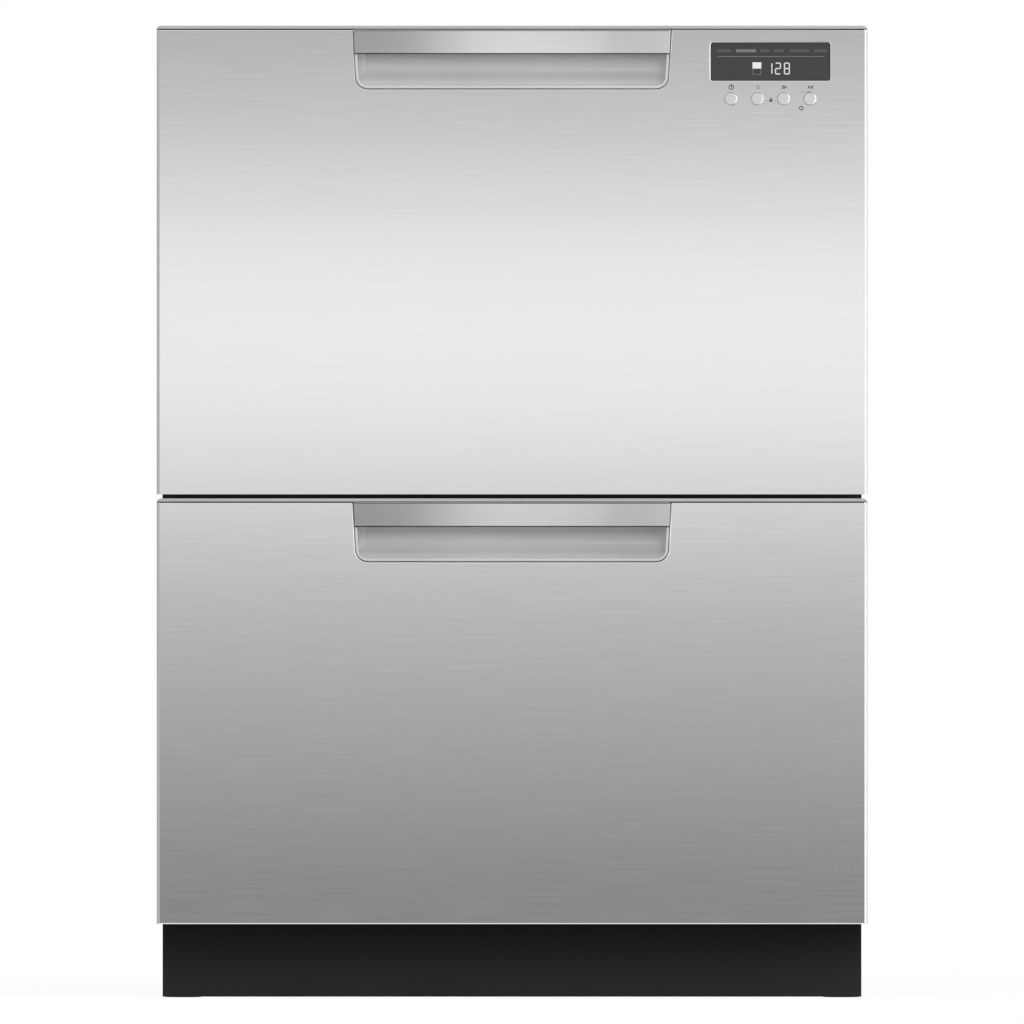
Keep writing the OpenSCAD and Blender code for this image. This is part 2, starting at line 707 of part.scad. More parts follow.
// Finger pocket, or its outside if grown by the wall: the handle's outline seen from the front,
// with a scoop seen from the side and round ends seen from above
module pocket_form(grow, y0) let (y1 = panel_y + pocket_d + grow, w = handle_w / 2 - pocket_wall + grow,
    z0 = panel_top - handle_h + pocket_wall - grow, r = scoop_r + grow, end_r = pocket_end_r + grow)
    intersection() {
        front_prism(y0, y1 - y0) polygon(handle_outline(pocket_wall - grow, panel_top - pocket_wall + grow));
        side_prism(-w, 2 * w) polygon(round_rect(y0 - r, z0, y1, panel_top + 2 * r, r));
        linear_extrude(panel_top + cut) polygon(round_rect(-w, y0 - end_r, w, y1, end_r));
    }

// Cap along the whole top edge of a front
module cap() front_prism(panel_y, door_back_y - panel_y) polygon(concat(
    [[-unit_w / 2, panel_top], [unit_w / 2, panel_top]],
    arc(unit_w / 2 - cap_h, panel_top, cap_h, 0, 90), arc(-unit_w / 2 + cap_h, panel_top, cap_h, 90, 180)));

module handle_moulding() color(silver) difference() {
    union() {
        cap();
        difference() {
            union() {
                pocket_form(pocket_wall, panel_y);
                // flange behind the steel, which closes the shadow gap round the handle
                front_prism(flange_y, flange_t)
                    polygon(handle_outline(-handle_flange, panel_top - skin - fit));
                // neck that joins the pocket and the cap
                box(-curl_x, flange_y, panel_top - pocket_wall, curl_x, panel_y + pocket_d / 2,
                    panel_top + 0.1);
            }
            pocket_form(0, panel_y - cut);
        }
        // wall behind the steel strip
        intersection() {
            front_prism(bridge_y, strip_back) polygon(handle_outline(pocket_wall / 2, panel_top));
            box(-handle_w, bridge_y, strip_low, handle_w, bridge_y + strip_back, panel_top);
        }
    }
    // shadow groove under the cap
    box(-unit_w, panel_y - cut, panel_top, unit_w, panel_y + groove_d, panel_top + groove_h);
    // seat of the steel strip
    box(-handle_w, front_y - cut, strip_low - strip_t - fit, handle_w, bridge_y, panel_top + groove_h / 2);
}

// Steel facing of the handle, curled under the moulded wall
module handle_strip() color(steel) {
    intersection() {
        side_prism(-handle_w / 2, handle_w) polygon([
            [front_y, strip_low - strip_t + strip_edge], [front_y + strip_edge, strip_low - strip_t],
            [bridge_y, strip_low - strip_t], [bridge_y, panel_top - 2 * fit],
            [front_y + strip_edge, panel_top - 2 * fit], [front_y, panel_top - 2 * fit - strip_edge]]);
        front_prism(front_y - cut, strip_t + 2 * cut) polygon(handle_outline(0, panel_top));
    }
    box(-curl_x, bridge_y - 0.1, strip_low - strip_t, curl_x, bridge_y + strip_back, strip_low);
}

door_plate = 2;
door_overlap = 2;
door_rib_d = 9;
door_rib_pitch = 80;

module inner_door(upper) color(zinc) let (z0 = front_z(upper) + skin + fit, z1 = panel_top - skin - fit,
        x = unit_w / 2 - skin - fit) {
    difference() {
        box(-x, fold_back_y - door_overlap, z0, x, door_back_y, z1);
        box(-x + door_plate, fold_back_y - door_overlap - cut, z0 + door_plate, x - door_plate,
            door_back_y - door_plate, z1 - door_plate);
        box(-handle_w / 2 - 2, fold_back_y - door_overlap - cut, z1 - door_plate - cut, handle_w / 2 + 2,
            panel_y + pocket_d + pocket_wall + fit, z1 + cut);
    }
    // stiffening ribs below the handle
    for (z = [z0 + door_rib_pitch:door_rib_pitch:panel_top - handle_h - handle_flange - door_rib_d])
        box(-x + door_plate - 0.1, door_back_y - door_plate - door_rib_d, z, x - door_plate + 0.1,
            door_back_y - door_plate + 0.1, z + door_plate);
}

// ---- controls ----

module_rim = 3;
module_y = panel_y + skin + module_rim;
module_d = 20;
stem_r = 2.5;
stem_l = 7;
module_margin = 6;
module_x0 = display_x - display_w / 2 - module_margin;
module_x1 = display_x + display_w / 2 + module_margin;
module_z0 = button_z - button_d / 2 - module_margin;
module_z1 = display_z + display_h / 2 + module_margin;

module display_window() color(black)
    front_prism(panel_y + display_inset, module_y - panel_y - display_inset) display_outline(0);

module control_module() color(black) difference() {
    front_prism(panel_y + skin, module_d) polygon(round_rect(module_x0, module_z0, module_x1, module_z1, 3));
    front_prism(panel_y + skin - cut, module_rim + cut) polygon(round_rect(module_x0 + module_rim,
        module_z0 + module_rim, module_x1 - module_rim, module_z1 - module_rim, 1));
    for (x = button_x)
        hole_y(x, module_y - cut, module_y + stem_l + button_travel + module_rim, button_z, stem_r + running);
}

button_edge = 0.5;
button_collar = 1.4;
collar_y = panel_y + skin + fit;

// Cap with a soft edge, a collar behind the steel and a stem in the control module
module button(i) color(silver)
    translate([button_x[i], 0, button_z]) rotate([-90, 0, 0]) rotate_extrude() polygon([
        [0, front_y], [button_d / 2 - button_edge, front_y], [button_d / 2, front_y + button_edge],
        [button_d / 2, collar_y], [button_d / 2 + button_collar, collar_y],
        [button_d / 2 + button_collar, collar_y + button_collar], [stem_r, collar_y + button_collar],
        [stem_r, module_y + stem_l], [0, module_y + stem_l]]);

// ---- detergent dispenser on the inside of the tub front ----

disp_x = 64;
disp_drop = 24;
disp_h = 52;
disp_z1 = rim_z - disp_drop;
disp_z0 = disp_z1 - disp_h;
disp_mid_z = (disp_z0 + disp_z1) / 2;
disp_y = tub_front + tub_wall;
disp_d = 14;
disp_back = 3;
disp_face = disp_y + disp_d;
lid_side = 5;
door_x0 = -disp_x + lid_side;
door_x1 = 10;
chamber_door_t = 3;
hinge_y = disp_face + fit + chamber_door_t / 2;
hinge_drop = 4;
hinge_z = disp_z0 - hinge_drop;
rinse_x = 38;
rinse_r = 16;
rinse_h = 2.5;
rinse_bar_w = 4;
hinge_pin_r = 1.5;
barrel_r = 3;
chamber_wall = 4;
ear_l = 4;
latch_w = 20;
latch_h = 3;

module dispenser() color(silver) {
    difference() {
        front_prism(disp_y, disp_d) polygon(round_rect(-disp_x, disp_z0, disp_x, disp_z1, 6));
        // detergent chamber
        front_prism(disp_y + disp_back, disp_d) polygon(round_rect(door_x0 + chamber_wall,
            disp_z0 + 2 * chamber_wall, door_x1 - chamber_wall, disp_z1 - 2 * chamber_wall, 4));
    }
    // rinse aid cap with its finger bar
    hole_y(rinse_x, disp_face, disp_face + rinse_h, disp_mid_z, rinse_r);
    box(rinse_x - rinse_r + rinse_bar_w, disp_face + rinse_h - 0.1, disp_mid_z - rinse_bar_w / 2,
        rinse_x + rinse_r - rinse_bar_w, disp_face + 2 * rinse_h, disp_mid_z + rinse_bar_w / 2);
    // ears and the pin that carries the door
    for (x = [door_x0 - fit - ear_l, door_x1 + fit])
        box(x, disp_y, hinge_z - hinge_drop, x + ear_l, hinge_y + barrel_r, disp_z0 + ear_l);
    hole_x(door_x0 - fit - ear_l / 2, door_x1 + fit + ear_l / 2, hinge_y, hinge_z, hinge_pin_r);
}

module dispenser_door() color(plastic) difference() {
    union() {
        box(door_x0, hinge_y - chamber_door_t / 2, hinge_z, door_x1, hinge_y + chamber_door_t / 2,
            disp_z1 - chamber_wall);
        hole_x(door_x0, door_x1, hinge_y, hinge_z, barrel_r);
        // grip of the latch
        box(door_x0 + latch_w, hinge_y, disp_z1 - chamber_wall - 2 * latch_h, door_x1 - latch_w,
            hinge_y + chamber_door_t / 2 + 2, disp_z1 - chamber_wall - latch_h);
    }
    hole_x(door_x0 - cut, door_x1 + cut, hinge_y, hinge_z, hinge_pin_r + running);
}

// ---- basket ----

basket_x = tub_in_x - basket_gap;
basket_y0 = tub_front + tub_wall + basket_gap;
basket_y1 = tub_back - tub_wall - basket_gap;
basket_z = floor_z + basket_rise;
basket_top = rim_z - basket_drop;
weld = 0.4;
cross = 2 * wire_r - weld;
next_wire = 2 * wire_r + fit;
deck_x = basket_x - next_wire;
deck_y0 = basket_y0 + next_wire;
deck_y1 = basket_y1 - next_wire;
deck_top = basket_z + cross + wire_r;
bend_r = tub_r - tub_wall - basket_gap;
deck_r = bend_r - next_wire;
dip_w = 16;
dip_h = 40;
dip_x = disp_x + dip_w;
dip_z = disp_z0 - dip_h;
low_z = deck_top + wire_r + fit;
mid_z = basket_z + (basket_top - basket_z) * 0.5;
end_x = basket_x - bend_r - fit;
end_y0 = basket_y0 + bend_r + fit;
end_y1 = basket_y1 - bend_r - fit;
leg_inset = 40;
leg_r = 5;

// n + 1 even steps from a to b, no wider than the pitch
function steps(a, b, pitch) = let (n = max(1, ceil((b - a) / pitch))) [for (i = [0:n]) a + (b - a) * i / n];

// How much shorter a wire is that runs out d past the middle of a round corner
function corner_cut(d, r) = d > 0 ? r - sqrt(max(r * r - d * d, 0)) : 0;

// Basket wires have eight flats
module wire(h) rotate([0, 0, 22.5]) cylinder(r = wire_r, h = h, $fn = 8);
module wire_x(x0, x1, y, z) translate([x0, y, z]) rotate([0, 90, 0]) wire(x1 - x0);
module wire_y(x, y0, y1, z) translate([x, y1, z]) rotate([90, 0, 0]) wire(y1 - y0);
module wire_z(x, y, z0, z1) translate([x, y, z0]) wire(z1 - z0);
// Quarter bend round the corner at +X and +Y
module bend(x, y, z, r) translate([x, y, z]) rotate_extrude(angle = 90, $fn = 32)
    translate([r, 0]) rotate(22.5) circle(r = wire_r, $fn = 8);

clip_x = -30;
clip_r = 5;
clip_t = 6;
axle_r = 2;
axle_z = deck_top + clip_r;
deck_ys = steps(deck_y0, deck_y1, wire_pitch);
clip_ys = [deck_ys[1], deck_ys[len(deck_ys) - 2]];
tine_y0 = clip_ys[0] + clip_t / 2 + fit;
tine_y1 = clip_ys[1] - clip_t / 2 - fit;
row_x = clip_x + row_gap;
row_z = deck_top + wire_r + 0.2;
tine_margin = 8;

module clip(x, y, z) difference() {
    union() {
        hole_y(x, y, y + clip_t, z, clip_r);
        box(x - clip_r, y, z - clip_r - 0.3, x + clip_r, y + clip_t, z);
    }
    hole_y(x, y - cut, y + clip_t + cut, z, axle_r + running);
}

// Floor of crossed wires inside a frame with round corners, with its feet and the clips of the tines
module basket_deck() {
    for (x = steps(-deck_x, deck_x, wire_pitch)) let (c = corner_cut(abs(x) - deck_x + deck_r, deck_r))
        wire_y(x, deck_y0 + c, deck_y1 - c, basket_z);
    for (y = deck_ys) let (c = corner_cut(max(deck_y0 + deck_r - y, y - deck_y1 + deck_r), deck_r))
        wire_x(-deck_x + c, deck_x - c, y, basket_z + cross);
    both_sides() {
        bend(deck_x - deck_r, deck_y1 - deck_r, basket_z + cross / 2, deck_r);
        translate([0, deck_y0 + deck_r, 0]) mirror([0, 1, 0])
            bend(deck_x - deck_r, 0, basket_z + cross / 2, deck_r);
        for (y = [basket_y0 + leg_inset, basket_y1 - leg_inset])
            hole_z(basket_x - leg_inset, y, floor_z, basket_z + wire_r, leg_r);
    }
    for (y = clip_ys)
        clip(clip_x, y - clip_t / 2, axle_z);
}

// Side wall: uprights, a low and a middle wire and the rim
module basket_side() {
    for (y = steps(end_y0 + wire_r, end_y1 - wire_r, wire_pitch))
        wire_z(basket_x, y, basket_z, basket_top);
    for (z = [low_z, mid_z, basket_top])
        wire_y(basket_x, end_y0, end_y1, z);
}

// Front wall, dipped in the middle to clear the open dispenser door
module basket_front() {
    for (x = steps(-end_x + wire_r, end_x - wire_r, wire_pitch))
        wire_z(x, basket_y0, basket_z, abs(x) < dip_x ? dip_z : basket_top);
    for (z = [low_z, mid_z])
        wire_x(-end_x, end_x, basket_y0, z);
    both_sides() {
        wire_x(dip_x - wire_r, end_x, basket_y0, basket_top);
        wire_z(dip_x, basket_y0, dip_z - wire_r, basket_top);
    }
    wire_x(-dip_x, dip_x, basket_y0, dip_z);
}

module basket_back() {
    for (x = steps(-end_x + wire_r, end_x - wire_r, wire_pitch))
        wire_z(x, basket_y1, basket_z, basket_top);
    for (z = [low_z, mid_z, basket_top])
        wire_x(-end_x, end_x, basket_y1, z);
}

// Round corner at +X and +Y: three bends on one upright
module basket_corner(y) translate([basket_x - bend_r, y, 0]) {
    for (z = [low_z, mid_z, basket_top])
        bend(0, 0, z, bend_r);
    wire_z(bend_r * cos(45), bend_r * sin(45), basket_z, basket_top);
}

// A row of tines in the plane of x, standing on a wire at height z
module comb(x, z) for (y = steps(tine_y0 + tine_margin, tine_y1 - tine_margin, tine_pitch))
    wire_z(x, y, z, z + tine_h);

module basket() color(wire_blue) {
    basket_deck();
    both_sides() {
        basket_side();
        basket_corner(basket_y1 - bend_r);
        translate([0, basket_y0 + bend_r, 0]) mirror([0, 1, 0]) basket_corner(0);
    }
    basket_front();
    basket_back();
    // fixed row of tines, laid on the deck
    wire_y(row_x, tine_y0, tine_y1, row_z);
    comb(row_x, row_z);
    // clips on the left wall that carry the cup rack
    for (y = [rack_y0 - clip_t - fit, rack_y1 + fit])
        rack_clip(y);
}

rack_y0 = tub_mid_y - rack_l / 2;
rack_y1 = tub_mid_y + rack_l / 2;
rack_x = -basket_x + wire_r + cross + clip_r;
rack_z = mid_z + 4;

module rack_clip(y) difference() {
    union() {
        hole_y(rack_x, y, y + clip_t, rack_z, clip_r);
        box(-basket_x + wire_r - 0.3, y, rack_z - clip_r, rack_x, y + clip_t, rack_z + clip_r);
    }
    hole_y(rack_x, y - cut, y + clip_t + cut, rack_z, axle_r + running);
}

// Axle that reaches 1 mm past the clips at both ends of y0 to y1
module axle(x, y0, y1, z) let (d = clip_t + fit + 1) hole_y(x, y0 - d, y1 + d, z, axle_r);

module folding_tines() color(wire_blue) {
    axle(clip_x, tine_y0, tine_y1, axle_z);
    comb(clip_x, axle_z);
}

rack_t = 3;
rack_lip = 6;
slat_pitch = 36;
slat_w = 26;
slat_end = 8;

// Slatted shelf that folds up against the basket wall
module cup_rack() color(plastic) {
    axle(rack_x, rack_y0, rack_y1, rack_z);
    translate([0, 0, rack_z - rack_t / 2]) linear_extrude(rack_t) difference() {
        polygon(round_rect(rack_x - 1, rack_y0, rack_x + rack_d, rack_y1, 4));
        for (y = steps(rack_y0 + slat_end, rack_y1 - slat_end - slat_w, slat_pitch))
            polygon(round_rect(rack_x + slat_end, y, rack_x + rack_d - slat_end, y + slat_w, 5));
    }
    // front lip that keeps cups from sliding off
    box(rack_x + rack_d - 2, rack_y0 + 4, rack_z - rack_t / 2, rack_x + rack_d, rack_y1 - 4,
        rack_z + rack_lip);
}

cutlery_side = 8;
cutlery_front = 10;
cutlery_w = 98;
cutlery_l = 190;
cutlery_x1 = deck_x - cutlery_side;
cutlery_x0 = cutlery_x1 - cutlery_w;
cutlery_y0 = deck_y0 + cutlery_front;
cutlery_y1 = cutlery_y0 + cutlery_l;
cutlery_h = 96;
slot_w = 6;
slot_pitch = 14;
slot_z = 14;
slot_end = 10;
grip_rise = 30;
grip_run = 32;
grip_t = 8;
cutlery_wall = 2.4;
cutlery_cells = 3;

// Basket for knives and forks, with slotted walls, partitions and a carrying bar
module cutlery_basket() color(silver) {
    cutlery_cells_box();
    cutlery_handle();
}

module cutlery_cells_box() let (w = cutlery_w, l = cutlery_l, cell = (l - cutlery_wall) / cutlery_cells)
    translate([cutlery_x0, cutlery_y0, deck_top]) difference() {
        linear_extrude(cutlery_h) polygon(round_rect(0, 0, w, l, 5));
        for (i = [0:cutlery_cells - 1])
            translate([0, i * cell, cutlery_wall]) linear_extrude(cutlery_h)
                polygon(round_rect(cutlery_wall, cutlery_wall, w - cutlery_wall, cell, 3));
        // upright slots in the long walls
        for (i = [0:cutlery_cells - 1], j = [0:3])
            translate([-cut, i * cell + slot_end + j * slot_pitch, slot_z])
                cube([w + 2 * cut, slot_w, cutlery_h - 2 * slot_z]);
        // drain slots in the floor
        for (i = [0:cutlery_cells - 1], x = steps(slot_z, w - slot_z - slot_w, 2 * slot_pitch))
            translate([x, cutlery_wall + i * cell + slot_end, -cut])
                cube([slot_w, cell - cutlery_wall - 2 * slot_end, 2 * cutlery_wall]);
    }

// Carrying bar with a slanted leg to each end wall
module cutlery_handle() let (x = (cutlery_x0 + cutlery_x1) / 2, top = deck_top + cutlery_h, foot = grip_t + 2)
    side_prism(x - cutlery_wall, 2 * cutlery_wall) polygon([
        [cutlery_y0, top - foot], [cutlery_y0 + cutlery_wall, top - foot],
        [cutlery_y0 + grip_run + 2, top + grip_rise - grip_t],
        [cutlery_y1 - grip_run - 2, top + grip_rise - grip_t],
        [cutlery_y1 - cutlery_wall, top - foot], [cutlery_y1, top - foot],
        [cutlery_y1, top], [cutlery_y1 - grip_run, top + grip_rise],
        [cutlery_y0 + grip_run, top + grip_rise], [cutlery_y0, top]]);

// ---- lid and its lifting gear ----

seal_lip = 1.5;
lid_side_play = 4;
lid_front_play = 1.5;
lid_x = rim_x - lid_side_play;
lid_y0 = chassis_y + lid_front_play;
lid_y1 = tub_back + rim_w - 2 * lid_front_play;
lid_r = tub_r - lid_side_play;
lid_step = 14;
lid_margin = lid_step + 2;
lid_cell_w = 120;
lid_cell_l = 110;
post_inset = 8;
post_x = side_in - post_inset;
post_front = 90;
post_back = 60;
post_y = [chassis_y + post_front, tub_back - post_back];
ear_w = 16;
ear_t = 4;
act_d = 40;
act_space = 11;
act_high = lid_z + lid_t + lid_rib + act_space;
act_lug = 6;

module lid() color(plastic) difference() {
    union() {
        translate([0, 0, lid_z]) linear_extrude(lid_t) lid_outline(0);
        difference() {
            translate([0, 0, lid_z + lid_t - 0.1]) linear_extrude(lid_rib) lid_outline(lid_step);
            // pockets between the ribs
            for (i = [0:lid_nx - 1], j = [0:lid_ny - 1])
                translate([-lid_x + lid_margin + i * lid_dx, lid_y0 + lid_margin + j * lid_dy, lid_z + lid_t])
                    linear_extrude(lid_rib + cut) polygon(round_rect(0, 0, lid_dx - 2, lid_dy - 2, 8));
        }
        both_sides() for (y = post_y)
            box(lid_x - 12, y - ear_w / 2, lid_z, post_x + post_r + 2, y + ear_w / 2, lid_z + ear_t);
    }
    for (y = post_y, s = [-1, 1])
        hole_z(s * post_x, y, lid_z - cut, lid_z + ear_t + cut, post_r + running);
}

lid_nx = ceil((2 * lid_x - 2 * lid_margin) / lid_cell_w);
lid_ny = ceil((lid_y1 - lid_y0 - 2 * lid_margin) / lid_cell_l);
lid_dx = (2 * lid_x - 2 * lid_margin + 2) / lid_nx;
lid_dy = (lid_y1 - lid_y0 - 2 * lid_margin + 2) / lid_ny;

// Lid outline seen from above, inset all round
module lid_outline(inset) polygon(round_rect(-lid_x + inset, lid_y0 + inset, lid_x - inset, lid_y1 - inset,
    lid_r - inset));

// Rubber frame with a groove that makes its lip flexible
module lid_seal() color(black) translate([0, 0, seal_z]) difference() {
    linear_extrude(seal_h) lid_outline(1);
    translate([0, 0, -cut]) linear_extrude(seal_h + 2 * cut) lid_outline(1 + seal_w);
    translate([0, 0, seal_lip]) linear_extrude(seal_h - 2 * seal_lip) difference() {
        lid_outline(0);
        lid_outline(seal_w / 2);
    }
}

// Brackets on the chassis sides with the posts on which the lids rise and fall
module lid_actuators() color(black) both_sides() for (z = [0, drawer_pitch]) translate([0, 0, z]) {
    for (y = post_y) {
        box(side_in - act_t, y - act_d / 2, act_low, side_in, y + act_d / 2, act_high);
        for (h = [act_low, act_high - act_t])
            box(post_x - act_lug, y - act_d / 2, h, side_in - act_t + 0.1, y + act_d / 2, h + act_t);
        hole_z(post_x, y, act_low, act_high, post_r);
    }
}

base_pan();
mirror([1, 0, 0]) side_panel();  // left_side_panel
side_panel();  // right_side_panel
rear_panel();
top_panel();
middle_rail();
toe_kick();
runner_outers();
lid_actuators();
mounting_brackets();
hose_fittings();
translate([-foot_x, foot_front_y, 0]) foot();  // front_left_foot
translate([foot_x, foot_front_y, 0]) foot();  // front_right_foot
translate([-foot_x, foot_rear_y, 0]) foot();  // rear_left_foot
translate([foot_x, foot_rear_y, 0]) foot();  // rear_right_foot
front_panel(false);  // lower_front_panel
handle_moulding();  // lower_handle_moulding
handle_strip();  // lower_handle_strip
inner_door(false);  // lower_inner_door
tub();  // lower_tub
runner_inner();  // lower_runner_inner
runner_middle();  // lower_runner_middle
wash_motor();  // lower_wash_motor
filter_plate();  // lower_filter_plate
drain_filter();  // lower_drain_filter
dispenser();  // lower_dispenser
dispenser_door();  // lower_dispenser_door
basket();  // lower_basket
folding_tines();  // lower_folding_tines
cup_rack();  // lower_cup_rack
cutlery_basket();  // lower_cutlery_basket
spray_arm();  // lower_spray_arm
lid();  // lower_lid
lid_seal();  // lower_lid_seal
raised() front_panel(true);  // upper_front_panel
raised() handle_moulding();  // upper_handle_moulding
raised() handle_strip();  // upper_handle_strip
raised() inner_door(true);  // upper_inner_door
raised() tub();  // upper_tub
raised() runner_inner();  // upper_runner_inner
raised() runner_middle();  // upper_runner_middle
raised() wash_motor();  // upper_wash_motor
raised() filter_plate();  // upper_filter_plate
raised() drain_filter();  // upper_drain_filter
raised() dispenser();  // upper_dispenser
raised() dispenser_door();  // upper_dispenser_door
raised() basket();  // upper_basket
raised() folding_tines();  // upper_folding_tines
raised() cup_rack();  // upper_cup_rack
raised() cutlery_basket();  // upper_cutlery_basket
raised() spray_arm();  // upper_spray_arm
raised() lid();  // upper_lid
raised() lid_seal();  // upper_lid_seal
raised() display_window();
raised() control_module();
raised() button(0);  // power_button
raised() button(1);  // program_button
raised() button(2);  // option_button
raised() button(3);  // start_button
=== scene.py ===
# %% [markdown]
# # A double drawer dishwasher, dressed for its picture
# The construction comes ready made: every panel, rail, tub and wire has its real size and place.
# Here each piece gets soft edges and a finish, and the small things that catch the eye are added:
# the marks in the display, the signs over the buttons, screw heads, the beads on the tines and
# the soft lips of the toe kick.
# The picture is a straight front view on white, so the steel and its reflections carry it.

# %% Load the construction
import json
import math

import bmesh
import bpy
from mathutils import Matrix, Vector


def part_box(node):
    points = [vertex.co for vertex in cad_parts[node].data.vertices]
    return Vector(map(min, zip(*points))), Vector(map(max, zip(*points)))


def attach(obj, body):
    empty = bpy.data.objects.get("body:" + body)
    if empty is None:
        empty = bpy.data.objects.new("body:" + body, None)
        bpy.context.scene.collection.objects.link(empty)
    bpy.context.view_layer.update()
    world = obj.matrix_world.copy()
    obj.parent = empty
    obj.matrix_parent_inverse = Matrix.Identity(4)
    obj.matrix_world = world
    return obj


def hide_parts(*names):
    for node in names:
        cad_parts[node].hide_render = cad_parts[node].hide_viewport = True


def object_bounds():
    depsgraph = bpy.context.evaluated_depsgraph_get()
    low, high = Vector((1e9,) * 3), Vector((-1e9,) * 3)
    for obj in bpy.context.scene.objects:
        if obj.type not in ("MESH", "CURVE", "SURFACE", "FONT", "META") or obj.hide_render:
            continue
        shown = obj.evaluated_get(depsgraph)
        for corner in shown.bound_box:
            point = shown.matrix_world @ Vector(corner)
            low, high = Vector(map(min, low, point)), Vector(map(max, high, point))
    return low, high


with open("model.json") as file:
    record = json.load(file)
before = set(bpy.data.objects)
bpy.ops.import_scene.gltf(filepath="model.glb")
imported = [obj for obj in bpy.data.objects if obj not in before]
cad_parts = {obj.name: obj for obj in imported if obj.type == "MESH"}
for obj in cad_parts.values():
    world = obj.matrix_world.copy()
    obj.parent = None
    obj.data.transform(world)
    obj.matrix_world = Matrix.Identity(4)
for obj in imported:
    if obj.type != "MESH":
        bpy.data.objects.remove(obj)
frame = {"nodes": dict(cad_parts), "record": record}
cad_low, cad_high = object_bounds()
body_of_node = {n: b for b, ns in frame["record"]["behaviour"]["bodies"].items() for n in ns}
slot_of_node = {p["node"]: p["material_slot"] for p in frame["record"]["subparts"]}
print("construction box", [round(v, 4) for v in (*cad_low, *cad_high)], "nodes", len(frame["nodes"]))

# %% [markdown]
# ## Camera
# The photograph looks straight at the fronts from far away, so its lines hardly converge. A long
# lens at thirty-six metres does the same. The field of view follows from the width that one pixel
# covers on the drawer fronts.

# %% Camera
image_px = 1024
metres_per_px = 0.000843
camera_distance = 36.0
sensor_mm = 36.0
front_y = cad_low.y
view_height = 0.410

camera_data = bpy.data.cameras.new("front_camera")
camera_data.sensor_width = sensor_mm
camera_data.lens = sensor_mm * camera_distance / (image_px * metres_per_px)
camera_data.clip_end = 100.0
camera = bpy.data.objects.new("front_camera", camera_data)
bpy.context.scene.collection.objects.link(camera)
camera.location = (0.0, front_y - camera_distance, view_height)
camera.rotation_euler = (math.radians(90), 0.0, 0.0)
bpy.context.scene.camera = camera
print("lens", round(camera_data.lens, 1), "mm")

# %% [markdown]
# ## Helpers for node materials
# Each finish is a small tree of nodes. Patterns read Object coordinates, which are metres here
# because every piece keeps its origin at the frame's origin, so a pattern's scale is a real one.

# %% Material helpers
def new_material(name, color, roughness, metallic=0.0, ior=1.46):
    """A Principled material and the handles that its pattern nodes need."""
    material = bpy.data.materials.new(name)
    material.use_nodes = True
    shader = material.node_tree.nodes["Principled BSDF"]
    shader.inputs["Base Color"].default_value = (*color, 1.0)
    shader.inputs["Roughness"].default_value = roughness
    shader.inputs["Metallic"].default_value = metallic
    shader.inputs["IOR"].default_value = ior
    return material, material.node_tree, shader


def object_coordinates(tree, scale=(1.0, 1.0, 1.0)):
    """Object coordinates through a Mapping node, so a pattern can be stretched along one axis."""
    place = tree.nodes.new("ShaderNodeTexCoord")
    mapping = tree.nodes.new("ShaderNodeMapping")
    mapping.inputs["Scale"].default_value = scale
    tree.links.new(place.outputs["Object"], mapping.inputs["Vector"])
    return mapping.outputs["Vector"]


def noise(tree, vector, scale, detail=3.0, roughness=0.55):
    """Noise in cycles per metre of the vector it is given."""
    texture = tree.nodes.new("ShaderNodeTexNoise")
    texture.inputs["Scale"].default_value = scale
    texture.inputs["Detail"].default_value = detail
    texture.inputs["Roughness"].default_value = roughness
    tree.links.new(vector, texture.inputs["Vector"])
    return texture.outputs["Fac"]


def object_axis(tree, axis):
    """One Object coordinate, X or Z, as a value in metres."""
    place = tree.nodes.new("ShaderNodeTexCoord")
    axes = tree.nodes.new("ShaderNodeSeparateXYZ")
    tree.links.new(place.outputs["Object"], axes.inputs["Vector"])
    return axes.outputs[axis]


def mapped(tree, value, start, end, low=0.0, high=1.0):
    """Maps a value from the range start..end to the range low..high."""
    node = tree.nodes.new("ShaderNodeMapRange")
    node.inputs["From Min"].default_value = start
    node.inputs["From Max"].default_value = end
    node.inputs["To Min"].default_value = low
    node.inputs["To Max"].default_value = high
    tree.links.new(value, node.inputs["Value"])
    return node.outputs["Result"]


def spread(tree, value, low, high):
    """Maps the middle of a noise value, where nearly all of it lies, to the range low..high."""
    return mapped(tree, value, 0.3, 0.7, low, high)


def curve_through(tree, value, steps):
    """A smooth curve of a 0..1 value through the points (value, result)."""
    curve = tree.nodes.new("ShaderNodeFloatCurve")
    points = curve.mapping.curves[0].points
    while len(points) < len(steps):
        points.new(0.5, 0.5)
    for point, step in zip(points, steps):
        point.location = step
    curve.mapping.update()
    tree.links.new(value, curve.inputs["Value"])
    return curve.outputs[0]


def darken(material, factor):
    """Multiplies the colour that a material already has by a value."""
    tree = material.node_tree
    base = tree.nodes["Principled BSDF"].inputs["Base Color"]
    color = base.links[0].from_socket
    darker = tree.nodes.new("ShaderNodeMix")
    darker.data_type = "RGBA"
    darker.blend_type = "MULTIPLY"
    darker.inputs["Factor"].default_value = 1.0
    tree.links.new(color, darker.inputs["A"])
    tree.links.new(factor, darker.inputs["B"])
    tree.links.new(darker.outputs["Result"], base)


def tone(tree, value, dark, light):
    """Turns a 0..1 value into a colour between dark and light."""
    mix = tree.nodes.new("ShaderNodeMix")
    mix.data_type = "RGBA"
    mix.inputs["A"].default_value = (*dark, 1.0)
    mix.inputs["B"].default_value = (*light, 1.0)
    tree.links.new(value, mix.inputs["Factor"])
    return mix.outputs["Result"]


def bump(tree, shader, height, distance, strength):
    """Fine relief on a shader from a height value."""
    node = tree.nodes.new("ShaderNodeBump")
    node.inputs["Distance"].default_value = distance
    node.inputs["Strength"].default_value = strength
    tree.links.new(height, node.inputs["Height"])
    tree.links.new(node.outputs["Normal"], shader.inputs["Normal"])


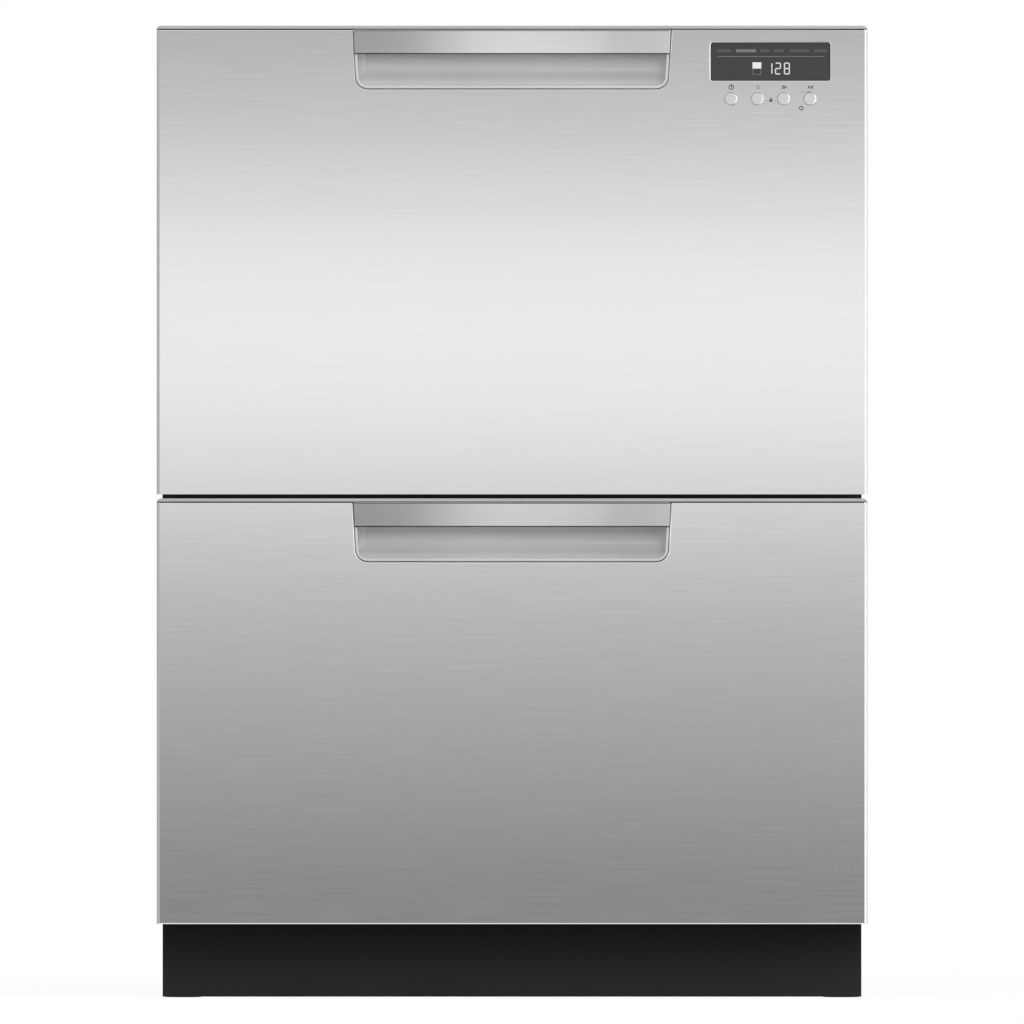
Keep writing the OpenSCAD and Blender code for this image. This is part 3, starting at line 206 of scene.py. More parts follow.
# %% [markdown]
# ## Brushed steel
# The fronts are sheet steel brushed from side to side. From a few metres the brushing shows only as
# faint streaks a few centimetres long and a millimetre high. Noise that is stretched along X makes
# them in the colour, the roughness and a very low bump, each so weak that no single streak stands out.

# %% Brushed steel
def brushed_steel(name, color=0.60, roughness=0.24, streak=0.028):
    """Metal with short grooves along X. color is its grey, streak how much the grain shows."""
    material, tree, shader = new_material(name, (color,) * 3, roughness, metallic=1.0)
    grain = noise(tree, object_coordinates(tree, (16.0, 900.0, 900.0)), 1.0, 3.0, 0.6)
    low, high = color * (1.0 - streak), color * (1.0 + streak)
    tree.links.new(tone(tree, spread(tree, grain, 0.0, 1.0), (low,) * 3, (high,) * 3),
                   shader.inputs["Base Color"])
    tree.links.new(spread(tree, grain, roughness - 0.02, roughness + 0.02), shader.inputs["Roughness"])
    bump(tree, shader, grain, distance=0.00001, strength=0.10)
    return material


def shaded_along_x(material, width, steps):
    """Paints shade into a metal's colour by a slow curve over X: steps are (share of the width, factor).
    """
    tree = material.node_tree
    share = mapped(tree, object_axis(tree, "X"), -width / 2, width / 2)
    darken(material, curve_through(tree, share, steps))


def shaded(material, light_z, dark_z, shade=0.07):
    """Paints shade into a colour from the height light_z to dark_z, above or below it, and beyond
    dark_z.
    """
    tree = material.node_tree
    darken(material, mapped(tree, object_axis(tree, "Z"), light_z, dark_z, 1.0, shade))
    return material


# Where two pieces meet, shadow is painted into the colour and fades in over edge_fade. The painted
# shadow reaches up from the lower edge of a handle's facing by the next height, and down from its
# upper edge by strip_shadow.
edge_fade = 0.0002
low_edge_shadow = 0.0010
strip_shadow = 0.0006
# Painted shade along a handle's facing, darkest at the left and lightest in the middle: (share of its
# width, colour factor)
strip_shading = [(0.0, 0.52), (0.14, 0.57), (0.28, 0.78), (0.44, 0.99), (0.60, 1.00), (0.76, 0.92),
                 (0.85, 0.81), (1.0, 0.86)]
front_steel = brushed_steel("brushed_front_steel")
edge_steel = brushed_steel("polished_edge_steel", 0.88, 0.10, 0.01)
# The facings of both drawers are one steel, lighter on the upper drawer and darker on the lower, as
# painted light and shade
strip_steels = {"upper_": brushed_steel("upper_strip_steel", 0.83, 0.26, 0.02),
                "lower_": brushed_steel("lower_strip_steel", 0.575, 0.26, 0.02)}
for strip_side, strip_steel in strip_steels.items():
    strip_low, strip_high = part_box(strip_side + "handle_strip")
    shaded_along_x(strip_steel, strip_high.x - strip_low.x, strip_shading)
    shaded(strip_steel, strip_low.z + low_edge_shadow, strip_low.z + low_edge_shadow - edge_fade)
    shaded(strip_steel, strip_high.z - strip_shadow, strip_high.z - strip_shadow + edge_fade)
plate_steel = brushed_steel("satin_strainer_steel", 0.58, 0.32, 0.03)
print("steels ready")

# %% [markdown]
# ## Moulded plastics and painted sheet
# Moulded parts have a very fine spark-eroded grain and a faint change of tone. Powder coat has an
# orange-peel surface about a millimetre across. Zinc-coated sheet shows pale and dark spangles.

# %% Plastics, paint and zinc
def moulded(name, color, roughness=0.45, grain_size=0.0006, relief=0.00003, shift=0.06, ior=1.46):
    """Moulded plastic: fine grain in bump and roughness, a slow change of tone."""
    material, tree, shader = new_material(name, color, roughness, ior=ior)
    vector = object_coordinates(tree)
    grain = noise(tree, vector, 1.0 / grain_size, 2.0)
    drift = noise(tree, vector, 9.0, 3.0)
    dark = tuple(c * (1.0 - shift) for c in color)
    light = tuple(min(1.0, c * (1.0 + shift)) for c in color)
    tree.links.new(tone(tree, spread(tree, drift, 0.0, 1.0), dark, light), shader.inputs["Base Color"])
    tree.links.new(spread(tree, grain, roughness - 0.06, roughness + 0.06), shader.inputs["Roughness"])
    bump(tree, shader, grain, distance=relief, strength=0.5)
    return material


def powder_coat(name, color, roughness=0.42):
    """Painted sheet with orange peel."""
    return moulded(name, color, roughness, grain_size=0.0016, relief=0.00005, shift=0.10)


def zinc_sheet(name, color=0.52):
    """Galvanised sheet: spangles of a few millimetres in tone and roughness."""
    material, tree, shader = new_material(name, (color,) * 3, 0.42, metallic=0.85)
    spangle = tree.nodes.new("ShaderNodeTexVoronoi")
    spangle.inputs["Scale"].default_value = 110.0
    tree.links.new(object_coordinates(tree), spangle.inputs["Vector"])
    grey = tree.nodes.new("ShaderNodeRGBToBW")
    tree.links.new(spangle.outputs["Color"], grey.inputs["Color"])
    tree.links.new(tone(tree, grey.outputs["Val"], (color * 0.93, color * 0.94, color * 0.95),
                        (color * 1.04, color * 1.06, color * 1.08)), shader.inputs["Base Color"])
    tree.links.new(spread(tree, grey.outputs["Val"], 0.36, 0.50), shader.inputs["Roughness"])
    return material


finishes = {
    "front_steel": front_steel,
    "stainless": plate_steel,
    "zinc_steel": zinc_sheet("zinc_coated_sheet"),
    "black_paint": powder_coat("black_powder_coat", (0.013, 0.013, 0.014)),
    "silver_plastic": moulded("silver_grey_plastic", (0.50, 0.50, 0.50), 0.38),
    "tub_plastic": moulded("light_grey_plastic", (0.55, 0.57, 0.58), 0.34),
    "blue_plastic": moulded("blue_grey_plastic", (0.22, 0.27, 0.33), 0.40),
    "black_plastic": moulded("black_plastic", (0.018, 0.018, 0.019), 0.42),
    "motor_housing": moulded("motor_housing_paint", (0.40, 0.41, 0.42), 0.38, grain_size=0.002),
    "coated_wire": moulded("coated_wire", (0.33, 0.37, 0.42), 0.28, grain_size=0.002),
    "seal_rubber": moulded("black_rubber", (0.022, 0.022, 0.023), 0.62, grain_size=0.0012),
    "display_glass": moulded("tinted_window", (0.020, 0.020, 0.0205), 0.20, relief=0.000002, shift=0.02),
    "button_chrome": brushed_steel("satin_button_metal", 0.66, 0.36, 0.01),
}
thread_pitch = 0.0015


def threaded(name, color=0.50):
    """Zinc-plated rod whose thread is a wave along Z in the bump."""
    material, tree, shader = new_material(name, (color,) * 3, 0.34, metallic=1.0)
    wave = tree.nodes.new("ShaderNodeTexWave")
    wave.bands_direction = "Z"
    # The bands of this texture repeat every 2 pi / (20 scale) metres
    wave.inputs["Scale"].default_value = 2.0 * math.pi / (20.0 * thread_pitch)
    vector = object_coordinates(tree)
    tree.links.new(vector, wave.inputs["Vector"])
    stain = noise(tree, vector, 220.0, 3.0)
    tree.links.new(tone(tree, spread(tree, stain, 0.0, 1.0), (color * 0.85,) * 3, (color * 1.1,) * 3),
                   shader.inputs["Base Color"])
    bump(tree, shader, wave.outputs["Fac"], distance=0.0005, strength=0.8)
    return material


rod_thread = threaded("foot_rod_thread")
# The toe kick's black gets painted shade: from the floor up to kick_dark_z it darkens to kick_shade of
# its colour and stays so above
kick_light_z, kick_dark_z, kick_shade = 0.0, 0.060, 0.15
kick_paint_and_shade = shaded(moulded("toe_kick_paint_shaded", (0.013, 0.013, 0.0132), 0.55, relief=0.00002, ior=1.26),
                    kick_light_z, kick_dark_z, kick_shade)
moulding_finishes = {}
# The painted shadow of the groove reaches this far over the top edge of the steel, on the cap, and this
# far under it, in the pocket
moulding_shadow = 0.0009
for moulding_side in ("lower_", "upper_"):
    steel_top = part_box(moulding_side + "front_panel")[1].z
    # One moulding in a tone for each part, as painted light and shade: pocket lightest, cap darkest,
    # black in the groove
    moulding_finishes[moulding_side] = [
        shaded(moulded(moulding_side + "pocket_plastic", (0.48, 0.48, 0.48), 0.38),
               steel_top - moulding_shadow, steel_top - moulding_shadow + edge_fade),
        shaded(moulded(moulding_side + "cap_plastic_shaded", (0.265, 0.265, 0.265), 0.36),
               steel_top + moulding_shadow, steel_top + moulding_shadow - edge_fade),
        finishes["black_plastic"],
        moulded(moulding_side + "rim_plastic_shaded", (0.35, 0.35, 0.35), 0.38)]
print(len(finishes), "finishes ready")

# %% [markdown]
# ## Soft edges
# No folded sheet or moulding has a knife edge, and it is the thin light line along an edge that
# makes it look real. The construction's meshes are loose triangles, so each is copied, its
# doubles are merged and its flat areas joined. A Bevel modifier then rounds what is left sharp.
# On the thin steel skin that would round the folds on the inside too, so there only the edges
# that face the front are given a bevel weight. The wires of the baskets and of the tines are round
# already and get no bevel.

# %% Merge a construction mesh
smooth_below = math.radians(32.0)
flat_below = math.radians(0.8)
same_place = 0.00001


def merged_shape(node, smooth_angle=smooth_below):
    """A bmesh of a node with doubles merged, flat areas joined and shallow edges smooth."""
    shape = bmesh.new()
    shape.from_mesh(frame["nodes"][node].data)
    bmesh.ops.remove_doubles(shape, verts=shape.verts, dist=same_place)
    bmesh.ops.dissolve_limit(shape, angle_limit=flat_below, verts=shape.verts, edges=shape.edges)
    if node.endswith("side_panel"):
        # the flange between the rail cut-outs is a deeply notched face, so it is split again
        bmesh.ops.connect_verts_concave(shape, faces=shape.faces)
    for face in shape.faces:
        face.smooth = True
    for edge in shape.edges:
        edge.smooth = len(edge.link_faces) == 2 and edge.calc_face_angle(0.0) < smooth_angle
    return shape


button_nodes = [n for n in frame["nodes"] if n.endswith("_button")]
button_centres = [(low + high) / 2 for low, high in (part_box(n) for n in button_nodes)]
# Round the button holes, which lie within hole_reach of a button's centre, the bevel is narrower
hole_reach = 0.009
hole_share = 0.5
# A face looks at the front when the Y of its normal is this or less
looks_front = -0.95


def weigh_front_edges(shape):
    """Gives a bevel weight to the sharp outer edges of the faces that look at the front."""
    weight = shape.edges.layers.float.new("bevel_weight_edge")
    for edge in shape.edges:
        at_front = any(face.normal.y <= looks_front for face in edge.link_faces)
        if edge.smooth or not edge.is_convex or not at_front:
            continue
        middle = (edge.verts[0].co + edge.verts[1].co) / 2
        at_hole = any((middle.xz - centre.xz).length < hole_reach for centre in button_centres)
        edge[weight] = hole_share if at_hole else 1.0


# %% Dress a construction piece
def new_piece(name, shape, body, materials):
    """Turns a bmesh into a piece that rides on a body and wears the materials it is given."""
    mesh = bpy.data.meshes.new(name)
    shape.to_mesh(mesh)
    shape.free()
    for material in materials:
        mesh.materials.append(material)
    piece = bpy.data.objects.new(name, mesh)
    bpy.context.scene.collection.objects.link(piece)
    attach(piece, body)
    return piece


def soften(piece, radius, segments, limit):
    """A Bevel modifier that rounds the edges picked by angle or by weight."""
    edges = piece.modifiers.new("soft_edges", "BEVEL")
    edges.width = radius
    edges.segments = segments
    edges.limit_method = limit
    edges.angle_limit = smooth_below
    edges.harden_normals = True
    edges.use_clamp_overlap = limit == "ANGLE"


def dressed(node, radius, front_only=False, smooth_angle=smooth_below):
    """A merged copy of a node with rounded edges, which stands for it and moves with its body."""
    shape = merged_shape(node, smooth_angle)
    if front_only:
        weigh_front_edges(shape)
    slot = slot_of_node[node]
    piece = new_piece(node + "_shaped", shape, body_of_node[node], [finishes[slot]])
    if radius:
        soften(piece, radius, 3 if front_only else 2, "WEIGHT" if front_only else "ANGLE")
    if front_only:
        piece.data.materials.append(edge_steel)
        piece.modifiers["soft_edges"].material = 1
        flat = piece.modifiers.new("flat_faces", "WEIGHTED_NORMAL")
        flat.keep_sharp = True
    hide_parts(node)
    return piece


# %% Dress them all
usual_radius = 0.0003
edge_radius = {"front_panel": 0.0008, "toe_kick": 0.0002, "wash_motor": 0.0010}
edge_radius.update((node, 0.00015) for node in button_nodes)
front_edges_only = ("front_panel",)
round_wires = ("basket", "folding_tines")
wire_smooth = math.radians(60.0)
piece_of = {}
for node in sorted(frame["nodes"]):
    short = node.removeprefix("upper_").removeprefix("lower_")
    if short in round_wires:
        piece_of[node] = dressed(node, 0.0, smooth_angle=wire_smooth)
    else:
        piece_of[node] = dressed(node, edge_radius.get(short, usual_radius), short in front_edges_only)
print("dressed", len(piece_of), "pieces")

# %% [markdown]
# ## Second finishes
# Some pieces differ from the rest of their slot. The steel facing of a handle has painted shade along
# X, darker at its ends and lightest in the middle, in place of uneven light on it. The toe kick is
# matt black, with painted shade that darkens it towards its top. The pocket, the cap and the rim of a
# handle are one moulding with a tone for each, as painted light and shade: the pocket lightest, the
# rim darker and the cap darkest. The faces above the steel are the cap, those flush with it are the
# rim, and the groove between the cap and the steel is painted black as its shadow. A foot is a black
# pad on a threaded steel rod, so the faces near its axis get the thread.

# %% Second finishes
piece_of["toe_kick"].data.materials[0] = kick_paint_and_shade
groove_height = 0.0009
rim_depth = 0.0003
level = 0.0001
pocket_tone, cap_tone, groove_shadow_tone, rim_tone = 0, 1, 2, 3
for side in ("lower_", "upper_"):
    piece_of[side + "handle_strip"].data.materials[0] = strip_steels[side]
    moulding = piece_of[side + "handle_moulding"].data
    moulding.materials.clear()
    for material in moulding_finishes[side]:
        moulding.materials.append(material)
    panel_low, panel_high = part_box(side + "front_panel")
    for face in moulding.polygons:
        behind = face.center.y > panel_low.y + rim_depth
        height = face.center.z
        # The faces in the groove get black plastic as painted shadow
        if behind and panel_high.z - level < height < panel_high.z + groove_height:
            face.material_index = groove_shadow_tone
        elif height > panel_high.z + level:
            face.material_index = cap_tone
        else:
            face.material_index = pocket_tone if behind else rim_tone
rod_radius = 0.0056
pad_height = 0.0095
for node in (n for n in piece_of if n.endswith("_foot")):
    foot = piece_of[node].data
    foot.materials.append(rod_thread)
    low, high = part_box(node)
    axis = Vector(((low.x + high.x) / 2, (low.y + high.y) / 2))
    for face in foot.polygons:
        on_rod = (face.center.xy - axis).length < rod_radius and face.center.z > low.z + pad_height
        face.material_index = 1 if on_rod else 0
print("toe kick, strips, caps and foot rods finished")

# %% [markdown]
# ## What the display shows
# The window is a dark pane that shows light marks: a row of programme names, of which one is lit, a
# line, a sign for the two drawers with the upper one filled, and the minutes left. The names are
# only short bars here. All marks are flat shapes that stand a tenth of a millimetre proud of the
# pane and reach a little way into it, so that they don't flicker with it.

# %% Flat marks
mark_depth = 0.0001


def at_pixel(px, py):
    """X and Z in metres of a pixel of the photograph on the plane of the fronts."""
    return (px - image_px / 2) * metres_per_px, view_height - (py - image_px / 2) * metres_per_px


def bar(shape, x, z, width, height, turn=0.0):
    """A flat bar in X and Z round a middle, turned in its plane."""
    made = bmesh.ops.create_grid(shape, x_segments=1, y_segments=1, size=0.5)["verts"]
    bmesh.ops.scale(shape, vec=(width, height, 1.0), verts=made)
    bmesh.ops.rotate(shape, matrix=Matrix.Rotation(turn, 3, "Z"), verts=made)
    bmesh.ops.rotate(shape, matrix=Matrix.Rotation(math.radians(90), 3, "X"), verts=made)
    bmesh.ops.translate(shape, vec=(x, 0.0, z), verts=made)


def ring(shape, x, z, radius, width, segments=32):
    """A flat ring: a circle of edges pushed outwards."""
    circle = bmesh.ops.create_circle(shape, segments=segments, radius=radius - width)
    edges = list({edge for vert in circle["verts"] for edge in vert.link_edges})
    grown = bmesh.ops.extrude_edge_only(shape, edges=edges)["geom"]
    outer = [g for g in grown if isinstance(g, bmesh.types.BMVert)]
    bmesh.ops.scale(shape, vec=(radius / (radius - width),) * 3, verts=outer)
    both = circle["verts"] + outer
    bmesh.ops.rotate(shape, matrix=Matrix.Rotation(math.radians(90), 3, "X"), verts=both)
    bmesh.ops.translate(shape, vec=(x, 0.0, z), verts=both)


def marks(name, shape, surface_y, material):
    """Flat shapes laid on a surface of the upper drawer's front, with a little thickness."""
    bmesh.ops.translate(shape, vec=(0.0, surface_y - mark_depth, 0.0), verts=shape.verts)
    bmesh.ops.recalc_face_normals(shape, faces=shape.faces)
    for face in shape.faces:
        if face.normal.y > 0.0:
            face.normal_flip()
    piece = new_piece(name, shape, "upper_drawer", [material])
    thick = piece.modifiers.new("thickness", "SOLIDIFY")
    thick.thickness = 1.5 * mark_depth
    thick.offset = -1.0


def lit(name, strength, color=(0.86, 0.88, 0.90)):
    """A mark that shines by itself, with a faint unevenness like a lit film."""
    material, tree, shader = new_material(name, tuple(c * 0.02 for c in color), 0.3)
    cloud = noise(tree, object_coordinates(tree), 900.0, 2.0)
    tree.links.new(tone(tree, spread(tree, cloud, 0.0, 1.0), tuple(0.94 * c for c in color), color),
                   shader.inputs["Emission Color"])
    shader.inputs["Emission Strength"].default_value = strength
    return material


bright_mark = lit("bright_mark", 0.90)
middle_mark = lit("middle_mark", 0.16)
line_mark = lit("line_mark", 0.16)
dim_mark = lit("dim_mark", 0.05)
print("marks ready")

# %% Programme row, line and drawer sign
pane_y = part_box("display_window")[0].y
name_spans_px = [(716.7, 731.0), (736.0, 756.0), (760.3, 769.0), (773.6, 783.9), (789.4, 809.2),
                 (813.8, 827.0)]
name_row_px = 50.7
name_height = 0.0026
chosen = 1
for row, is_chosen, material in (("dim", False, dim_mark), ("lit", True, middle_mark)):
    shape = bmesh.new()
    for i, (left, right) in enumerate(name_spans_px):
        if (i == chosen) is is_chosen:
            x, z = at_pixel((left + right) / 2, name_row_px)
            bar(shape, x, z, (right - left) * metres_per_px, name_height)
    marks("programme_row_" + row, shape, pane_y, material)

line_place_px, line_length_px, line_height = (771.0, 56.5), 107.7, 0.0006
shape = bmesh.new()
x, z = at_pixel(*line_place_px)
bar(shape, x, z, line_length_px * metres_per_px, line_height)
marks("display_line", shape, pane_y, line_mark)

minutes_row_px = 68.5
sign_px = 756.9
sign_width, sign_height, frame_width = 0.0074, 0.0104, 0.0005
frame_inset = 0.0003
sign_x, sign_z = at_pixel(sign_px, minutes_row_px)
shape = bmesh.new()
bar(shape, sign_x, sign_z + sign_height / 4, sign_width, sign_height / 2)
marks("drawer_sign_filled", shape, pane_y, bright_mark)
shape = bmesh.new()
for edge in (-1, 1):
    edge_x = sign_x + edge * (sign_width / 2 - frame_inset)
    bar(shape, edge_x, sign_z - sign_height / 4, frame_width, sign_height / 2)
bar(shape, sign_x, sign_z - sign_height / 2 + frame_inset, sign_width, frame_width)
marks("drawer_sign_open", shape, pane_y, line_mark)
print("display marks at", round(sign_x, 4), round(sign_z, 4))

# %% Minutes left
# A seven-segment digit: which of its bars are lit, from the top clockwise, the middle one last.
segments_of = {1: (1, 2), 2: (0, 1, 3, 4, 6), 8: (0, 1, 2, 3, 4, 5, 6)}
digit_width, digit_height, segment_width, segment_gap = 0.0050, 0.0100, 0.00088, 0.0004
digit_places_px = ((1, 769.5), (2, 778.0), (8, 786.9))


def digit(shape, number, x, z):
    """Adds the lit bars of a digit round its middle."""
    w, h = digit_width / 2 - segment_width / 2, digit_height / 2 - segment_width / 2
    places = [(0, h, True), (w, h / 2, False), (w, -h / 2, False), (0, -h, True),
              (-w, -h / 2, False), (-w, h / 2, False), (0, 0, True)]
    for i in segments_of[number]:
        dx, dz, flat = places[i]
        length = (2 * w if flat else h) - segment_gap
        size = (length, segment_width) if flat else (segment_width, length)
        bar(shape, x + dx, z + dz, *size)


shape = bmesh.new()
for number, px in digit_places_px:
    x, z = at_pixel(px, minutes_row_px)
    digit(shape, number, x, z)
marks("minutes_left", shape, pane_y, bright_mark)
print("minutes shown")

# %% [markdown]
# ## Signs on the steel
# Small dark signs are printed over the buttons: a clock, a grid, two arrows and the sign for start
# and pause. A padlock stands between the second and the third button, a ring at the lower left of
# the last one. Their strokes are about a millimetre wide or less, so bars and rings carry them.

# %% Printed signs
print_ink, ink_tree, ink_shader = new_material("sign_ink", (0.04, 0.04, 0.04), 0.6)
ink_grain = noise(ink_tree, object_coordinates(ink_tree), 2500.0, 2.0)
ink_tree.links.new(tone(ink_tree, spread(ink_tree, ink_grain, 0.0, 1.0), (0.03,) * 3, (0.05,) * 3),
                   ink_shader.inputs["Base Color"])
steel_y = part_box("upper_front_panel")[0].y
sign_row_px = 87.1
clock_px, grid_px, arrows_px, start_px = 731.3, 757.9, 784.3, 810.3
lock_place_px = (770.9, 100.6)
ring_place_px = (801.4, 108.1)
stroke = 0.0008
# The numbers in the drawing of a sign are metres, counted from the middle of that sign


def arrow(shape, x, z, size):
    """Two bars that meet in a point on the right."""
    for turn, dz in ((-45, 1), (45, -1)):
        bar(shape, x, z + dz * size / 4, size * 0.75, stroke, math.radians(turn))


shape = bmesh.new()
x, z = at_pixel(clock_px, sign_row_px)
ring(shape, x, z, 0.0023, stroke)
bar(shape, x, z + 0.0007, stroke, 0.0014)
bar(shape, x + 0.0004, z, 0.0008, stroke)
x, z = at_pixel(grid_px, sign_row_px)
for i in (-1, 0, 1):
    for j in (-1, 0, 1):
        bar(shape, x + i * 0.0012, z + j * 0.0012, 0.0006, 0.0006)
x, z = at_pixel(arrows_px, sign_row_px)
for step in (-0.0013, 0.0003):
    arrow(shape, x + step, z, 0.0028)
bar(shape, x + 0.0020, z, 0.0010, stroke)
x, z = at_pixel(start_px, sign_row_px)
bar(shape, x - 0.0013, z, 0.0012, 0.0022)
for step in (0.0006, 0.0018):
    bar(shape, x + step, z, stroke, 0.0026)
marks("button_signs", shape, steel_y, print_ink)

shape = bmesh.new()
x, z = at_pixel(*lock_place_px)
bar(shape, x, z, 0.0026, 0.0020)
ring(shape, x, z + 0.0012, 0.0011, 0.0004, 20)
for side in (-1, 1):
    for step in (0.0026, 0.0036):
        bar(shape, x + side * step, z, 0.0006, 0.0004)
marks("lock_sign", shape, steel_y, print_ink)

shape = bmesh.new()
x, z = at_pixel(*ring_place_px)
ring(shape, x, z, 0.0019, stroke, 24)
marks("door_sign", shape, steel_y, print_ink)
print("signs printed")

# %% [markdown]
# ## Screws
# Sheet metal is held by screws, and they give the plain sides and the back their scale. One head is
# a low cone whose top face is inset and pushed in for the socket. It is made pointing up, turned
# towards the side that it is seen from, and copied to each place.

# %% One screw head and its copies
head_radius, head_height = 0.0036, 0.0018
head_taper, socket_rim, socket_depth = 0.72, 0.30, 0.6
turn_to = {"+X": Matrix.Rotation(math.radians(90), 3, "Y"),
           "-X": Matrix.Rotation(math.radians(-90), 3, "Y"),
           "+Y": Matrix.Rotation(math.radians(-90), 3, "X"),
           "+Z": Matrix.Identity(3)}


def screw_head(shape, place, facing, height=head_height):
    """Adds a low conical head with a socket, standing on a place and looking along an axis."""
    made = bmesh.ops.create_cone(shape, cap_ends=True, segments=16, radius1=head_radius,
                                 radius2=head_radius * head_taper, depth=height)["verts"]
    bmesh.ops.translate(shape, vec=(0.0, 0.0, height / 2), verts=made)
    faces = {face for vert in made for face in vert.link_faces}
    top = max(faces, key=lambda face: face.calc_center_median().z)
    bmesh.ops.inset_region(shape, faces=[top], thickness=head_radius * socket_rim)
    pushed = bmesh.ops.extrude_discrete_faces(shape, faces=[top])["faces"]
    down = [vert for face in pushed for vert in face.verts]
    bmesh.ops.translate(shape, vec=(0.0, 0.0, -socket_depth * height), verts=down)
    # The inset and the extrusion made new points, so the whole head is gathered along its edges
    todo, whole = list(made), set(made)
    while todo:
        for edge in todo.pop().link_edges:
            for vert in edge.verts:
                if vert not in whole:
                    whole.add(vert)
                    todo.append(vert)
    whole = list(whole)
    bmesh.ops.rotate(shape, matrix=turn_to[facing], verts=whole)
    bmesh.ops.translate(shape, vec=place, verts=whole)


def screws(name, body, places, facing, height=head_height):
    """A piece of screw heads of one body that all look the same way."""
    shape = bmesh.new()
    for place in places:
        screw_head(shape, place, facing, height)
    piece = new_piece(name, shape, body, [screw_zinc])
    for polygon in piece.data.polygons:
        polygon.use_smooth = False


screw_zinc = zinc_sheet("screw_zinc", 0.46)
print("screw head", head_radius, head_height)

# %% Screws of the chassis
def spaced(low, high, count):
    """Evenly spaced numbers from low to high, both included."""
    return [low + (high - low) * i / (count - 1) for i in range(count)]


side_low, side_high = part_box("right_side_panel")
rear_low, rear_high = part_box("rear_panel")
top_low, top_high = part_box("top_panel")
edge_inset = 0.012
side_lowest, side_highest = 0.16, 0.74
side_rows = [(y, z) for y in (side_low.y + edge_inset, side_high.y - edge_inset)
             for z in spaced(side_lowest, side_highest, 4)]
screws("right_side_screws", "chassis", [(side_high.x, y, z) for y, z in side_rows], "+X")
screws("left_side_screws", "chassis", [(-side_high.x, y, z) for y, z in side_rows], "-X")
top_columns = (-0.27, 0.27)
top_front, top_back = top_low.y + 0.05, top_high.y - 0.03
top_places = [(x, y, top_high.z) for x in top_columns for y in spaced(top_front, top_back, 3)]
screws("top_screws", "chassis", top_places, "+Z")
# The rear heads are flat, because they stand proud of the deepest point of the construction
flat_head = 0.0004
rear_bottom, rear_top = rear_low.z + 0.02, rear_high.z - 0.015
rear_columns = (-0.14, 0.0, 0.14)
rear_places = [(x, rear_high.y, z) for x in (rear_low.x + edge_inset, rear_high.x - edge_inset)
               for z in spaced(rear_bottom, rear_top, 5)]
rear_places += [(x, rear_high.y, rear_top) for x in rear_columns]
screws("rear_screws", "chassis", rear_places, "+Y", flat_head)
print(2 * len(side_rows) + len(top_places) + len(rear_places), "chassis screws")

# %% Screws of the drawers
low_head = 0.0012
door_inset_x, door_inset_z = 0.010, 0.03
dispenser_inset_x, dispenser_step_y, dispenser_rows = 0.006, 0.014, (0.007, 0.045)
for side in ("lower_", "upper_"):
    low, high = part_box(side + "inner_door")
    door_places = [(x, high.y, z) for x in (low.x + door_inset_x, high.x - door_inset_x)
                   for z in spaced(low.z + door_inset_z, high.z - door_inset_z, 4)]
    screws(side + "door_screws", side + "drawer", door_places, "+Y")
    low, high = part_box(side + "dispenser")
    columns = (low.x + dispenser_inset_x, high.x - dispenser_inset_x)
    dispenser_places = [(x, low.y + dispenser_step_y, high.z - row) for x in columns
                        for row in dispenser_rows]
    screws(side + "dispenser_screws", side + "drawer", dispenser_places, "+Y", low_head)
print("drawer screws placed")

# %% [markdown]
# ## Lips of the toe kick
# In the photograph the black of the toe kick reaches the floor and the drawer above it. The sheet
# itself ends a little short of both, so that it can't scrape. A soft lip along each edge closes the
# gap under the drawer and nearly all of the one over the floor.

# %% Lips
kick_low, kick_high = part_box("toe_kick")
lip_floor_gap, lip_thickness, lip_overlap, lip_rise = 0.0008, 0.0014, 0.0004, 0.0016


def lip(name, low, high):
    """A strip along the toe kick between two heights, flush with its face."""
    shape = bmesh.new()
    made = bmesh.ops.create_cube(shape, size=1.0)["verts"]
    bmesh.ops.scale(shape, vec=(kick_high.x - kick_low.x, lip_thickness, high - low), verts=made)
    bmesh.ops.translate(shape, vec=(0.0, kick_low.y + lip_thickness / 2, (low + high) / 2), verts=made)
    new_piece(name, shape, body_of_node["toe_kick"], [kick_paint_and_shade])


lip("toe_kick_lip", lip_floor_gap, kick_low.z + lip_overlap)
lip("toe_kick_top_lip", kick_high.z - lip_overlap, kick_high.z + lip_rise)
print("lips from", lip_floor_gap, "to", round(kick_high.z + lip_rise, 4), "m")

# %% [markdown]
# ## Tips of the tines
# Coated wire ends in a small round bead of the coating, where the bare steel would otherwise rust.
# Each upright of the folding tines in both drawers gets one, a small sphere at its end.

# %% Beads on the tines
bead_radius, bead_sink, tip_reach = 0.0021, 0.0006, 0.0005
wire_cell = 0.012


def wire_tops(node, above):
    """The tips of a node's upright wires: its points over a height, grouped by cells of X and Y."""
    tops = {}
    for vert in frame["nodes"][node].data.vertices:
        if vert.co.z > above:
            cell = (round(vert.co.x / wire_cell), round(vert.co.y / wire_cell))
            tops.setdefault(cell, []).append(vert.co)
    return [sum(group, Vector()) / len(group) for group in tops.values()]


for side in ("lower_", "upper_"):
    low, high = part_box(side + "folding_tines")
    row_y = sorted(tip.y for tip in wire_tops(side + "folding_tines", high.z - tip_reach))
    shape = bmesh.new()
    for y in row_y:
        made = bmesh.ops.create_uvsphere(shape, u_segments=12, v_segments=8, radius=bead_radius)["verts"]
        bmesh.ops.translate(shape, vec=((low.x + high.x) / 2, y, high.z - bead_sink), verts=made)
    for face in shape.faces:
        face.smooth = True
    new_piece(side + "tine_beads", shape, side + "folding_tines", [finishes["coated_wire"]])
print("beads on", len(row_y), "tines a row")

# %% [markdown]
# ## Floor, light and reflections
# The floor and the background are white to the camera and to reflections. A soft box above, one in
# front and two weaker ones at the sides light the plastics at a plain level. Flat steel shows what
# stands in front of it, so a graded board that only reflections can see gives the fronts their slow
# change from dark to light and back, as a studio does.

